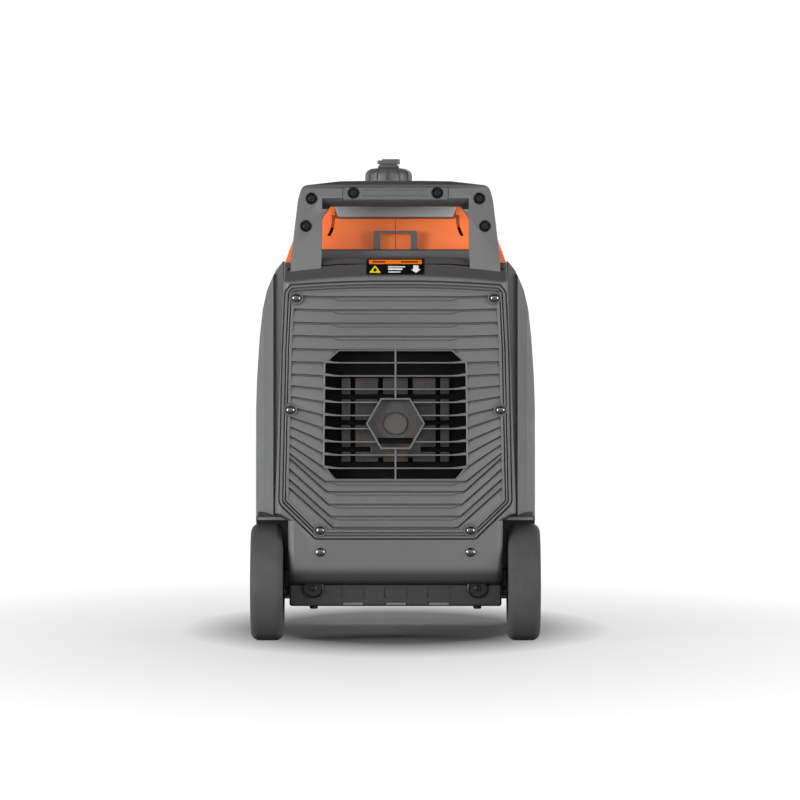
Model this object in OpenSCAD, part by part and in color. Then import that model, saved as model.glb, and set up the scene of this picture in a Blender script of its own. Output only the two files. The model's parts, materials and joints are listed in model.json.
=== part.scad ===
// Portable inverter generator on two wheels.
// +Z up, ground at z = 0, exhaust end (with the wheels) towards -Y, control panel end towards +Y.

/* [Body] */
// Distance from the exhaust face to the control face
body_l = 570; // [540:2:640]
// Width over the side covers
body_w = 305; // [303:1:307]
// Height of the shoulder line under the carrying handles
deck_z = 414; // [412:1:416]
// Underside of the end frames
frame_z = 62; // [62:0.5:63]
// Wall thickness of the plastic covers
wall = 3; // [2.5:0.5:4]

/* [Handles] */
// Top of the carrying handles
handle_z = 499; // [497:1:503]
// Depth of a handle, front to back
handle_d = 36; // [34:1:38]
// Underside of the grip bar
grip_z = 471.5; // [470:0.5:473]

/* [Exhaust grille] */
// Width of the air opening
vent_w = 152; // [148:1:154]
// Bottom of the air opening
vent_z0 = 176; // [175:0.5:177]
// Top of the air opening
vent_z1 = 314.5; // [314:0.5:316]
// Spacing of the slats
slat_pitch = 14.24; // [14:0.02:14.4]
// Thickness of a slat
slat_t = 1.8; // [1.4:0.1:2.4]
// Height of the exhaust outlet above the ground
outlet_z = 236.2; // [235:0.1:238]

/* [Wheels] */
// Tyre radius
tyre_r = 63.5; // [62:0.5:65]
// Tyre width
tyre_w = 35.5; // [33:0.5:36]
// Distance between the outer faces of the tyres
track_w = 314; // [312:1:318]
// Axle radius
axle_r = 6; // [5:0.5:6.5]
// Axle position ahead of the exhaust face
axle_in = 46.5; // [44:0.5:50]

/* [Fuel cap] */
// Fuel cap radius
cap_r = 26.5; // [25:0.5:28]
// Fuel cap offset from the middle
cap_x = -8; // [-10:1:-6]
// Top of the cap skirt
cap_z = 521; // [519:1:523]

/* [Tow handle] */
// Radius of the tow handle tube
tow_r = 6; // [5:0.5:6.5]
// Half the distance between the tow handle tubes
tow_x = 104; // [103:1:105]

/* [Hidden] */
$fn = 48;
body_grey = "#6b6c6d";
dark_grey = "#3c3d3e";
orange = "#f26a2e";
rubber_grey = "#343536";
black = "#1c1c1d";
steel = "silver";
rear_y = -body_l / 2;
front_y = body_l / 2;
axle_y = rear_y + axle_in;
frame_d = 63;
gap = 0.6;
side_x = body_w / 2;
tyre_x = track_w / 2;
crank_z = 200;
tray_top = frame_z - 0.2;
tray_z = 38;
tray_x = 115;
slot_x = [-46, 0, 46];
shell_y = front_y - 23;
cover_y = 205;
// reach of a cutter that passes right through, and the overlap of a cut past a face
past = 400;
over = 1;
// depth of the seat of the grille panel
seat_d = 7.5;
screw_r = 2;
// low collar between an end frame and the top cover
collar_x = 106;
collar_z = 426;
// front feet and the outriggers that carry them
foot_x0 = 132;
foot_x1 = 150;
foot_y0 = 190;
foot_y1 = 240;
foot_top = 30;
// starter rope exit
rope_y = 118;
// corners of the end frames
frame_x = 116;
frame_bulge = 130;
frame_neck = 121;
neck_z = 404;
// bolts that hold the handle feet and the lower end frames
foot_x = 97;
foot_y = [-267, -249];
frame_bolt = [81.2, 97];
// recess of the control panel
recess_x = 90;
recess_z0 = 120;
recess_z1 = 380;
recess_d = 12;

// ---------- placing helpers ----------
module along_y(y0, y1) { translate([0, y1, 0]) rotate([90, 0, 0]) linear_extrude(y1 - y0) children(); }
module along_x(x0, x1) { translate([x0, 0, 0]) rotate([90, 0, 90]) linear_extrude(x1 - x0) children(); }
module box(x0, x1, y0, y1, z0, z1) { translate([x0, y0, z0]) cube([x1 - x0, y1 - y0, z1 - z0]); }
module rod_y(x, z, r, y0, y1) { translate([x, y1, z]) rotate([90, 0, 0]) cylinder(r = r, h = y1 - y0); }
module rod_x(y, z, r, x0, x1) { translate([x0, y, z]) rotate([0, 90, 0]) cylinder(r = r, h = x1 - x0); }
module rod_z(x, y, r, z0, z1) { translate([x, y, z0]) cylinder(r = r, h = z1 - z0); }
module both_x() { children(); mirror([1, 0, 0]) children(); }
module both_y() { children(); mirror([0, 1, 0]) children(); }
function sym(points) = concat(points, [for (i = [len(points) - 1:-1:0]) [-points[i].x, points[i].y]]);

// ---------- outlines ----------
// end frame seen from behind, i is the inset of an inner surface
function frame_half(i) = [
  [frame_x - i, frame_z + i], [frame_x - i, 131 + i], [frame_bulge - i, 139 + i], [frame_bulge - i, 151],
  [frame_neck - i, neck_z], [frame_neck - 3 - i, neck_z + 6 - i], [60, deck_z + 1 - i]
];
// end frame seen from the side, measured from its own face
function frame_side(i) = [
  [frame_d + 2, frame_z + i], [26, frame_z + i], [12, frame_z + 4 + i], [4 + i, frame_z + 12 + i / 2],
  [i, frame_z + 22], [i, 395], [17 + i / 2, deck_z + 4 - i], [frame_d + 2, deck_z + 4 - i]
];
module frame_block(i) {
  intersection() {
    along_y(rear_y, rear_y + frame_d + i) polygon(sym(frame_half(i)));
    translate([0, rear_y, 0]) along_x(-140, 140) polygon(frame_side(i));
  }
}
// side covers seen from behind
function body_half(i) = [
  [side_x - i, frame_z - 4 + i], [side_x - i, 250], [side_x - 1.5 - i, 288], [side_x - 4.5 - i, 330],
  [side_x - 8 - i, 360], [side_x - 13 - i, 381 - i / 2], [side_x - 22.5 - i, neck_z - 2 - i], [100, 440 - i]
];
// side covers seen from above
function body_plan(i) = [
  [side_x - 21, -shell_y + i], [side_x - 9 - i / 2, 18 - shell_y + i], [side_x - i, 44 - shell_y + i / 2],
  [side_x - i, shell_y - 44 - i / 2], [side_x - 9 - i / 2, shell_y - 18 - i], [side_x - 21, shell_y - i]
];
module body_block(i) {
  intersection() {
    along_y(i - shell_y, shell_y - i) polygon(sym(body_half(i)));
    linear_extrude(450) polygon(concat([[60, i - shell_y]], body_plan(i), [[60, shell_y - i]]));
  }
}
// room taken by the end frames and the top cover
module frame_room() {
  along_y(-past, past) polygon(sym([
    [frame_x + gap, 0], [frame_x + gap, 131 - gap], [frame_bulge + gap, 139 - gap], [frame_bulge + gap, 151],
    [frame_neck + gap, neck_z], [frame_neck + gap, 470]
  ]));
}
arch_r = tyre_r + 10;
module side_shell() {
  difference() {
    body_block(0);
    body_block(wall);
    frame_room();
    rod_x(axle_y, tyre_r, arch_r, 0, past);
    box(100, past, -past, axle_y, 0, arch_r);
  }
  // wheel arch liner
  difference() {
    rod_x(axle_y, tyre_r, arch_r + wall, frame_x + over + gap, side_x - wall);
    rod_x(axle_y, tyre_r, arch_r, 100, past);
    box(100, past, -past, axle_y - 28, 0, 200);
    box(100, past, -past, past, -100, tyre_r);
    frame_room();
  }
}
module louvres(y0, y1, z0, z1, n) {
  for (i = [0:n - 1]) translate([0, 0, z0 + (i + 0.5) * (z1 - z0) / n])
    translate([side_x - 8, y0, 0]) rotate([0, 30, 0]) cube([20, y1 - y0, 3.2]);
}

// ---------- casing ----------
module base_tray() {
  color(dark_grey) difference() {
    union() {
      box(-tray_x, tray_x, -shell_y, shell_y, tray_z, tray_top);
      both_x() box(tray_x - 5, foot_x1, foot_y0, foot_y1, foot_top, frame_z - 6);
    }
    box(wall - tray_x, tray_x - wall, wall - shell_y, shell_y - wall, tray_z + wall, past);
    for (x = slot_x) {
      box(x - 10.5, x + 10.5, -shell_y - over, 7 - shell_y, tray_z + 0.9, tray_z + 4.3);
      box(x - 14, x + 14, -shell_y - over, 1.5 - shell_y, tray_z + 8, tray_z + 19);
    }
    for (y = [-150:50:150]) box(-70, 70, y - 10, y + 10, 0, tray_z + wall + over);
    axle_slot();
  }
}
module axle_slot() { rod_x(axle_y, tyre_r, axle_r + 0.5, -frame_bulge, frame_bulge); }
module rear_frame() {
  color(body_grey) difference() {
    union() {
      difference() {
        frame_block(0);
        frame_block(wall);
      }
      intersection() {
        along_y(rear_y + seat_d, rear_y + seat_d + wall) polygon(sym(frame_half(over)));
        box(-past, past, rear_y, front_y, 100, 392);
      }
      box(-collar_x, collar_x, rear_y + frame_d, -cover_y - gap, deck_z - over, collar_z);
    }
    // seat for the grille panel and the air opening behind it
    along_y(rear_y - over, rear_y + seat_d) grille_outline(0.5);
    box(-98, 98, rear_y, rear_y + seat_d + wall + over, 150, 345);
    foot_holes();
    frame_bolt_hole();
    axle_slot();
    for (p = grille_points) rod_y(p.x, p.y, screw_r, rear_y, rear_y + 12);
  }
}
// handle feet are bolted down to the deck
module foot_holes() { both_x() for (y = foot_y) rod_z(foot_x, y, 3, 380, 440); }
module frame_bolt_hole() {
  both_x() rod_y(frame_bolt.x, frame_bolt.y, screw_r + 0.2, rear_y - over, rear_y + 12);
}
module front_frame() {
  color(body_grey) difference() {
    union() {
      mirror([0, 1, 0]) difference() {
        frame_block(0);
        frame_block(wall);
      }
      box(-collar_x, collar_x, cover_y + gap, front_y - frame_d, deck_z - over, collar_z);
      box(-recess_x - 4, recess_x + 4, front_y - recess_d - 6, front_y - wall, recess_z0 - 4, recess_z1 + 4);
    }
    // recess and opening for the control panel
    box(-recess_x, recess_x, front_y - recess_d, front_y + over, recess_z0, recess_z1);
    box(6 - recess_x, recess_x - 6, front_y - 30, front_y, recess_z0 + 6, recess_z1 - 6);
    mirror([0, 1, 0]) foot_holes();
    both_x() for (z = [150, 360]) rod_y(tow_x, z, screw_r, front_y - 8, front_y + over);
    mirror([0, 1, 0]) frame_bolt_hole();
  }
}
// service door: hinge pin along Z at its rear edge
door_y0 = -120;
door_y1 = 60;
door_z0 = 110;
door_z1 = 240;
door_pin_x = side_x - 2.5;
// room behind the pin for the edge of the open door
swing_gap = 4.6;
latch_y = door_y1 - 14;
latch_z = (door_z0 + door_z1) / 2;
module side_cover_left() {
  color(body_grey) mirror([1, 0, 0]) difference() {
    side_shell();
    louvres(-150, -20, 180, 330, 10);
    louvres(60, 190, 270, 330, 4);
    // rope exit of the recoil starter
    rod_x(rope_y, crank_z, 5, 100, past);
    rod_x(rope_y, crank_z, 21, side_x - 1.5, past);
  }
}
module side_cover_right() {
  color(body_grey) difference() {
    union() {
      side_shell();
      box(side_x - 7, side_x - 1, door_y0 - 9, door_y1 + 6, door_z0 - 8, door_z1 + 8);
    }
    box(side_x - 3.5, past, door_y0 - swing_gap, door_y1 + gap, door_z0 - gap, door_z1 + gap);
    box(side_x - 5.5, past, door_y0 - swing_gap, door_y0 + 4, door_z0 - gap, door_z1 + gap);
    box(100, side_x, door_y0 + 7, door_y1 - 6, door_z0 + 8, door_z1 - 8);
    rod_z(door_pin_x, door_y0, 1.55, door_z0 - 5, door_z1 + 5);
    louvres(80, 190, 180, 330, 10);
    louvres(-150, 40, 285, 330, 3);
  }
}
module service_door() {
  color(body_grey) difference() {
    union() {
      box(side_x - 3, side_x, door_y0, door_y1, door_z0, door_z1);
      rod_z(door_pin_x, door_y0, 2.4, door_z0, door_z1);
      rod_z(door_pin_x, door_y0, 1.5, door_z0 - 4, door_z1 + 4);
    }
    rod_x(latch_y, latch_z, 3.05, 100, 170);
    for (z = [door_z0 + 19:18:door_z0 + 109]) box(side_x - 1.2, past, door_y0 + 20, door_y1 - 34, z, z + 2);
  }
}
module door_latch() {
  color(black) union() {
    difference() {
      rod_x(latch_y, latch_z, 10, side_x + 0.3, side_x + 4);
      box(side_x + 2, side_x + 5, latch_y - 1.2, latch_y + 1.2, latch_z - 8, latch_z + 8);
    }
    rod_x(latch_y, latch_z, 3, side_x - 10, side_x + 1);
    box(side_x - 9.5, side_x - 7.4, latch_y - 4, latch_y + 4, latch_z - 4, latch_z + 18);
  }
}

// ---------- top ----------
deck_w = 66;
deck_top = 476.5;
deck_lip = 461;
deck_half_l = 203;
seam = 0.5;
function cover_half(i) = [
  [frame_neck - i, neck_z - i], [frame_neck - i, 412], [115.5 - i, 428], [103 - i, 458 - i / 2],
  [96 - i / 2, 472 - i], [84, 475 - i]
];
function cover_side(i) = [
  [-cover_y + i, neck_z - i], [-cover_y + i, 424], [-cover_y + 9 + i, 476 - i],
  [cover_y - 9 - i, 476 - i], [cover_y - i, 424], [cover_y - i, neck_z - i]
];
module cover_block(i) {
  intersection() {
    along_y(-cover_y, cover_y) polygon(sym(cover_half(i)));
    along_x(-past, past) polygon(cover_side(i));
  }
}
module top_cover() {
  difference() {
    cover_block(0);
    cover_block(wall);
    box(-deck_w - 0.5, deck_w + 0.5, -past, past, deck_lip - 0.5, 480);
    // grooves that run down from the corners of the deck
    both_y() both_x() translate([deck_w + 0.5, -cover_y, deck_lip]) rotate([0, 22, 0])
      box(-1.2, 1.2, -3, 8, -18, 14);
  }
}
module top_cover_left() {
  color(orange) difference() {
    top_cover();
    box(-seam / 2, past, -past, past, 0, 500);
  }
}
module top_cover_right() {
  color(orange) mirror([1, 0, 0]) difference() {
    top_cover();
    box(-seam / 2, past, -past, past, 0, 500);
  }
}
module top_deck() {
  color(body_grey) difference() {
    along_y(-deck_half_l, deck_half_l) polygon(sym([
      [deck_w - 4, deck_lip], [deck_w, deck_lip + 6], [deck_w, deck_top - 3], [deck_w - 3, deck_top]
    ]));
    along_y(wall - deck_half_l, deck_half_l - wall) polygon(sym([
      [deck_w - 7, deck_lip - 11], [deck_w - wall, deck_lip + 6], [deck_w - wall, deck_top - wall]
    ]));
    rod_z(cap_x, 0, 24, 400, 500);
  }
}
module cover_keeper() {
  color(dark_grey) difference() {
    box(-24, 24, -cover_y - 9, -cover_y - 5, collar_z, collar_z + 20.6);
    box(-16.5, 16.5, -cover_y - 10, -cover_y - 4, collar_z - over, collar_z + 18.4);
  }
}

// ---------- carrying handles ----------
handle_y = -276;
half_d = handle_d / 2;
split_y = handle_y + half_d;
// pad let into the outer face of the grip bar
pad_x = 57;
pad_z0 = 478;
pad_z1 = 491.5;
pad_d = 2.5;
head_r = 6.2;
post_screws = [[90.8, 479.4], [96.8, 449.6]];
grip_screws = [[45.4, 485.6]];
screw_points = concat(post_screws, grip_screws);
module handle_loop() {
  difference() {
    intersection() {
      along_y(handle_y, handle_y + handle_d) difference() {
        polygon(sym([
          [113.5, 400], [113, 415], [104.5, 482], [100, 492], [90, handle_z - 2], [40, handle_z]
        ]));
        polygon(sym([[80.5, 390], [79.5, 461], [67, grip_z]]));
      }
      translate([0, split_y, 0]) along_x(-past, past) polygon(sym([
        [half_d, 400], [half_d, handle_z - 7], [half_d - 6, handle_z - 0.5], [8, handle_z + 1]
      ]));
    }
    frame_block(0);
    // rounded underside of the grip bar
    translate([0, split_y, 0]) both_y() along_x(-79.4, 79.4) polygon([
      [half_d + over, grip_z - 2], [half_d + over, grip_z + 9.5], [half_d - 3, grip_z + 5.5], [8, grip_z],
      [8, grip_z - 2]
    ]);
  }
}
module handle_outer() {
  difference() {
    handle_loop();
    box(-past, past, split_y - 0.2, 0, 390, 510);
    both_x() for (p = screw_points) {
      rod_y(p.x, p.y, head_r, handle_y - over, handle_y + 6);
      rod_y(p.x, p.y, screw_r, handle_y - over, handle_y + 30);
    }
    box(-pad_x - 0.3, pad_x + 0.3, handle_y - over, handle_y + pad_d, pad_z0 - 0.3, pad_z1 + 0.3);
  }
}
module handle_inner() {
  difference() {
    handle_loop();
    box(-past, past, -past, split_y + 0.2, 390, 510);
    both_x() for (p = screw_points) rod_y(p.x, p.y, screw_r, handle_y, handle_y + 28);
  }
}
module handle_rear_outer() { color(body_grey) handle_outer(); }
module handle_rear_inner() { color(body_grey) handle_inner(); }
module handle_front_outer() { color(body_grey) mirror([0, 1, 0]) handle_outer(); }
module handle_front_inner() { color(body_grey) mirror([0, 1, 0]) handle_inner(); }
module handle_grips() {
  color(rubber_grey) both_y() difference() {
    box(-pad_x, pad_x, handle_y - 0.6, handle_y + pad_d, pad_z0, pad_z1);
    both_x() for (p = grip_screws) rod_y(p.x, p.y, head_r, handle_y - over, handle_y + 6);
  }
}
module handle_screws() {
  color(steel) both_y() both_x() for (p = screw_points) {
    rod_y(p.x, p.y, 4.4, handle_y + 2.8, handle_y + 6);
    rod_y(p.x, p.y, screw_r, handle_y + 5, handle_y + 28);
  }
}

// ---------- exhaust grille ----------
grille_points = [[107, 371.5], [-107, 371.5], [113.5, 250.6], [-113.5, 250.6], [81.3, 120.5], [-81.3, 120.5]];
top_slat = 302.5;
slats = 9;
groove_w = 1.6;
groove_y0 = rear_y - 3;
groove_y1 = rear_y + 1.5;
first_step = top_slat + 5 * slat_pitch;
low_step = 163.5;
low_pitch = 13.2;
hex_out = 31.8;
hex_in = 29.6;
module grille_outline(grow) {
  polygon(sym([
    [86 + grow, 112 - grow], [125 + grow, 150 - grow], [121.5 + grow, 315], [118.5 + grow, 378],
    [113 + grow, 385 + grow]
  ]));
}
module vent_outline() {
  polygon(sym([
    [vent_w / 2 - 11, vent_z0], [vent_w / 2 + 1, vent_z0 + 15], [vent_w / 2, vent_z1 - 14],
    [vent_w / 2 - 15, vent_z1]
  ]));
}
// one groove of the face, from an inner point outwards at a slope
module groove(x, z, slope, l) {
  translate([x, 0, z]) rotate([0, -atan(slope), 0])
    box(0, l, groove_y0, groove_y1, -groove_w / 2, groove_w / 2);
}
function fan_slope(k) = 0.04 + 0.9 * pow(k / 10, 1.6);
module exhaust_grille() {
  color(body_grey) difference() {
    union() {
      difference() {
        along_y(rear_y - 1.5, rear_y + 7) grille_outline(0);
        along_y(rear_y - 3, rear_y + 9) vent_outline();
      }
      intersection() {
        along_y(rear_y - 3, rear_y + 9) vent_outline();
        union() {
          for (i = [0:slats - 1]) translate([0, 0, top_slat - i * slat_pitch])
            box(-past, past, rear_y - 1, rear_y + 6, -slat_t, 0);
          box(-slat_t / 2, slat_t / 2, rear_y - 1, rear_y + 6, vent_z0, vent_z1);
        }
      }
      hexagon(hex_out, rear_y - 2.5, rear_y + 6);
    }
    hexagon(hex_in, rear_y - 4.5, rear_y + 8);
    for (p = grille_points) rod_y(p.x, p.y, screw_r, rear_y - 4, rear_y + 12);
    // steps of the face above, beside and below the opening
    for (k = [0:4]) groove(-104, first_step - k * slat_pitch, 0, 208);
    both_x() for (k = [0:slats]) groove(vent_w / 2 + 3, top_slat - k * slat_pitch, fan_slope(k), 30 + k);
    both_x() for (k = [0:3]) {
      groove(vent_w / 2 - 1 - 2 * k, low_step - low_pitch * k, 1, 46 - 13 * k);
      groove(0, low_step - low_pitch * k, 0, vent_w / 2 - 1);
    }
  }
}
module hexagon(r, y0, y1) {
  translate([0, y1, outlet_z]) rotate([90, 0, 0]) cylinder(r = r, h = y1 - y0, $fn = 6);
}
module grille_screws() {
  color(steel) for (p = grille_points) {
    rod_y(p.x, p.y, 4.6, rear_y - 4.2, rear_y - 1.5);
    rod_y(p.x, p.y, screw_r, rear_y - 2, rear_y + 12);
  }
}
module frame_screws() {
  color(steel) both_y() both_x() {
    rod_y(frame_bolt.x, frame_bolt.y, 5, rear_y - 2.6, rear_y);
    rod_y(frame_bolt.x, frame_bolt.y, screw_r + 0.2, rear_y - over, rear_y + 12);
  }
}
// sloped band above the grille, where the label sits
band_tilt = atan2(17, deck_z + 4 - 395);
label_z = (395 + deck_z + 4) / 2;
module warning_plate() {
  color("goldenrod") translate([0, rear_y + 8.5, label_z]) rotate([-band_tilt, 0, 0])
    box(-31.3, 31.3, -0.65, -0.05, -11, 11);
}

// ---------- wheels and feet ----------
module axle_brackets() {
  color(black) difference() {
    both_x() box(frame_x, frame_x + 4.6, axle_y - 17, axle_y + 17, tyre_r - 15.5, tyre_r + 15.5);
    rod_x(axle_y, tyre_r, axle_r, -past, past);
  }
}
module axle() { color(steel) rod_x(axle_y, tyre_r, axle_r, 2 - tyre_x, tyre_x - 2); }
rim_r = 43;
shoulder_r = 8;
module tyre_section() {
  difference() {
    union() {
      translate([0, shoulder_r]) square([tyre_r, tyre_w - 2 * shoulder_r]);
      square([tyre_r - shoulder_r, tyre_w]);
      for (x = [shoulder_r, tyre_w - shoulder_r]) translate([tyre_r - shoulder_r, x]) circle(shoulder_r);
    }
    translate([-tyre_r, -over]) square([tyre_r + rim_r, tyre_w + 2 * over]);
    // step beside the rim on each side
    for (x = [-over, tyre_w - 4]) translate([rim_r, x]) square([6, 5]);
  }
}
module tyre() {
  color(rubber_grey) translate([tyre_x - tyre_w, axle_y, tyre_r]) rotate([0, 90, 0])
    rotate_extrude() tyre_section();
}
module hub() {
  color(dark_grey) difference() {
    union() {
      rod_x(axle_y, tyre_r, rim_r, tyre_x - tyre_w + 4, tyre_x - 4);
      rod_x(axle_y, tyre_r, 15, tyre_x - tyre_w, tyre_x - 4);
    }
    // pockets between six spokes, on both sides
    for (x = [tyre_x - tyre_w + 3, tyre_x - 14]) difference() {
      rod_x(axle_y, tyre_r, rim_r - 5, x, x + 11);
      rod_x(axle_y, tyre_r, 16, x - over, x + 12);
      for (a = [0:60:120]) translate([0, axle_y, tyre_r]) rotate([a, 0, 0])
        box(x - over, x + 12, -50, 50, -4, 4);
    }
    rod_x(axle_y, tyre_r, axle_r + 0.05, 100, past);
  }
}
module tyre_right() { tyre(); }
module tyre_left() { mirror([1, 0, 0]) tyre(); }
module hub_right() { hub(); }
module hub_left() { mirror([1, 0, 0]) hub(); }
module axle_caps() {
  color(black) difference() {
    both_x() rod_x(axle_y, tyre_r, 10, tyre_x - 3.6, tyre_x - 0.6);
    rod_x(axle_y, tyre_r, axle_r, 2 - tyre_x, tyre_x - 2);
  }
}
module front_feet() { color(black) both_x() box(foot_x0, foot_x1, foot_y0, foot_y1, 0, foot_top); }

// ---------- tow handle ----------
tow_y = 292;
tow_grip_z = 407;
module tow_guides() {
  color(dark_grey) both_x() difference() {
    box(tow_x - 9, tow_x + 9, front_y + 0.1, front_y + 14, 130, 385);
    rod_z(tow_x, tow_y, tow_r + 0.06, 0, 500);
  }
}
module tow_handle() {
  color(steel) union() {
    both_x() rod_z(tow_x, tow_y, tow_r, 118, tow_grip_z);
    rod_x(tow_y, tow_grip_z, tow_r, -tow_x, tow_x);
    both_x() translate([tow_x, tow_y, tow_grip_z]) sphere(tow_r);
  }
}
module tow_grip() {
  color(black) difference() {
    rod_x(tow_y, tow_grip_z, 10, -62, 62);
    rod_x(tow_y, tow_grip_z, tow_r, -tow_x, tow_x);
    rod_z(0, tow_y, 5, tow_grip_z + tow_r - 0.5, 420);
  }
}
module tow_button() { color(orange) rod_z(0, tow_y, 4.6, tow_grip_z + tow_r + 2.3, tow_grip_z + 12); }

// ---------- fuel ----------
module fuel_cap() {
  color(dark_grey) difference() {
    union() {
      rod_z(cap_x, 0, cap_r, 480, cap_z - 4);
      rod_z(cap_x, 0, cap_r - 3, cap_z - 5, cap_z);
    }
    rod_z(cap_x, 0, 22.6, 479, cap_z - 5);
    rod_z(cap_x, 0, 4.3, 500, 530);
    for (a = [0:22.5:337.5]) translate([cap_x, 0, 0]) rotate([0, 0, a]) rod_z(cap_r + 0.6, 0, 2, 478, 515);
  }
}
module vent_knob() {
  color(black) union() {
    rod_z(cap_x, 0, 13, cap_z + 0.3, cap_z + 6);
    rod_z(cap_x, 0, 4, cap_z - 4.5, cap_z + 1);
    box(cap_x - 13, cap_x + 13, -4, 4, cap_z + 5, cap_z + 10.5);
  }
}
module filler_neck() {
  color(steel) difference() {
    union() {
      rod_z(cap_x, 0, 22, 452, 512);
      rod_z(cap_x, 0, 28, 452, 454);
    }
    rod_z(cap_x, 0, 19.5, 440, 520);
  }
}
module tank_block(i) {
  intersection() {
    along_y(i - 160, 160 - i)
      polygon(sym([[80 - i, 392 + i], [98 - i, 402 + i], [98 - i, 440 - i], [88 - i, 452 - i]]));
    along_x(-past, past) polygon(sym([[148 - i, 390], [160 - i, 404], [160 - i, 440], [150 - i, 454]]));
  }
}
module fuel_tank() {
  color("dimgray") difference() {
    tank_block(0);
    tank_block(2.5);
    rod_z(cap_x, 0, 19.5, 440, 460);
  }
}

// ---------- engine ----------
// cylinder axis, the height of its ports and the place of the spark plug
cyl_y = -58;
port_z = 338;
port_r = 9;
plug_p = [34, -20];
crank_r = 10;
module crankcase() {
  color("darkgray") difference() {
    union() {
      box(-58, 58, -112, 0, 130, 250);
      both_x() box(50, 92, -105, -5, 118, 132);
      rod_y(0, crank_z, 40, -1, 12);
    }
    rod_y(0, crank_z, 30, -106, -6);
    rod_y(0, crank_z, crank_r + 0.05, -120, 20);
  }
}
module cylinder_barrel() {
  color("darkgray") difference() {
    union() {
      rod_z(0, cyl_y, 36, 250, 352);
      for (z = [258:9:345]) box(-50, 50, cyl_y - 50, cyl_y + 50, z, z + 3);
    }
    rod_z(0, cyl_y, 30, 249, 330);
    rod_x(cyl_y, port_z, port_r, 30, 70);
    rod_y(0, port_z, port_r, -120, -80);
    rod_z(plug_p.x, plug_p.y, 5, 335, 360);
  }
}
module rocker_cover() { color("dimgray") box(-40, 40, -98, -28, 352, 382); }
module crankshaft() {
  color(steel) union() {
    rod_y(0, crank_z, crank_r, -110, 92);
    rod_y(0, crank_z, 27, -95, -80);
    rod_y(0, crank_z, 27, -35, -20);
  }
}
module rotor_fan() {
  color("slategray") difference() {
    union() {
      rod_y(0, crank_z, 78, 16, 72);
      for (a = [0:30:330]) translate([0, 72, crank_z]) rotate([0, a, 0]) box(30, 84, -1, 14, -1.5, 1.5);
    }
    rod_y(0, crank_z, 70, 15, 66);
    rod_y(0, crank_z, crank_r, 0, 100);
  }
}
module stator() {
  color("peru") difference() {
    rod_y(0, crank_z, 66, 20, 62);
    rod_y(0, crank_z, 18, 10, 70);
    rod_y(0, crank_z, 40.2, 10, 22);
  }
}
module recoil_housing() {
  color(black) difference() {
    rod_y(0, crank_z, 92, 88, 132);
    rod_y(0, crank_z, 88, 87, 126);
    rod_y(0, crank_z, 30, 120, 140);
    for (a = [0:30:330]) translate([0, 0, crank_z]) rotate([0, a, 0]) rod_y(60, 0, 10, 120, 140);
  }
}
module recoil_grip() {
  color(black) difference() {
    union() {
      rod_x(rope_y, crank_z, 4.6, -side_x, 10 - side_x);
      box(-side_x - 4, -side_x + 1.2, rope_y - 18, rope_y + 18, crank_z - 6.5, crank_z + 6.5);
    }
    rod_x(rope_y, crank_z, 1.6, -past, 20 - side_x);
  }
}
module muffler() {
  color("dimgray") difference() {
    union() {
      along_y(-246, -166) polygon(sym([[70, 176], [86, 190], [86, 296], [70, 310]]));
      rod_y(0, port_z, 14, -180, -112);
      box(-16, 16, -182, -166, 300, 340);
    }
    along_y(-244, -168) polygon(sym([[69, 178], [84, 191], [84, 295], [69, 308]]));
    rod_y(0, outlet_z, 12, -250, -240);
    rod_y(0, port_z, port_r, -170, -110);
  }
}
module heat_shield() {
  color("dimgray") difference() {
    union() {
      box(-94, 94, -264, -262, 156, 340);
      for (x = [-78:31:78]) box(x - 2, x + 2, -270, -263, 160, 336);
      for (z = [166:28.5:336]) box(-90, 90, -270, -263, z - 2, z + 2);
    }
    rod_y(0, outlet_z, 26, -275, -255);
  }
}
module exhaust_outlet() {
  color("gray") difference() {
    union() {
      box(-27, 27, -276.5, -273.5, 219.5, 256);
      rod_y(0, outlet_z, 12.3, -279, -246);
      rod_y(0, outlet_z, 17, -248, -246);
    }
    rod_y(0, outlet_z, 10, -275, -240);
  }
}
module carburettor() {
  color("darkgray") difference() {
    union() {
      rod_x(cyl_y, port_z, 14, 50.2, 80);
      box(56, 76, cyl_y - 14, cyl_y + 14, 306, port_z);
    }
    rod_x(cyl_y, port_z, port_r, 40, 90);
  }
}
module air_cleaner() {
  color(black) difference() {
    box(80, 112, -120, 0, 262, 360);
    box(83, 109, -117, -3, 265, 357);
    rod_x(cyl_y, port_z, port_r, 70, 90);
  }
}
module spark_plug() {
  color("ivory") union() {
    rod_z(plug_p.x, plug_p.y, 4.95, 335, 352);
    rod_z(plug_p.x, plug_p.y, 8, 352, 356);
    rod_z(plug_p.x, plug_p.y, 4.5, 356, 376);
  }
}
module inverter_module() {
  color("lightgray") union() {
    box(-80, 80, 150, 190, 96, 226);
    for (x = [-76:12:76]) box(x - 1.2, x + 1.2, 188, 204, 98, 224);
  }
}
module engine_mounts() {
  color(black) both_x() for (y = [-90, -20]) rod_z(78, y, 12, tray_z + wall, 118);
}

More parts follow.
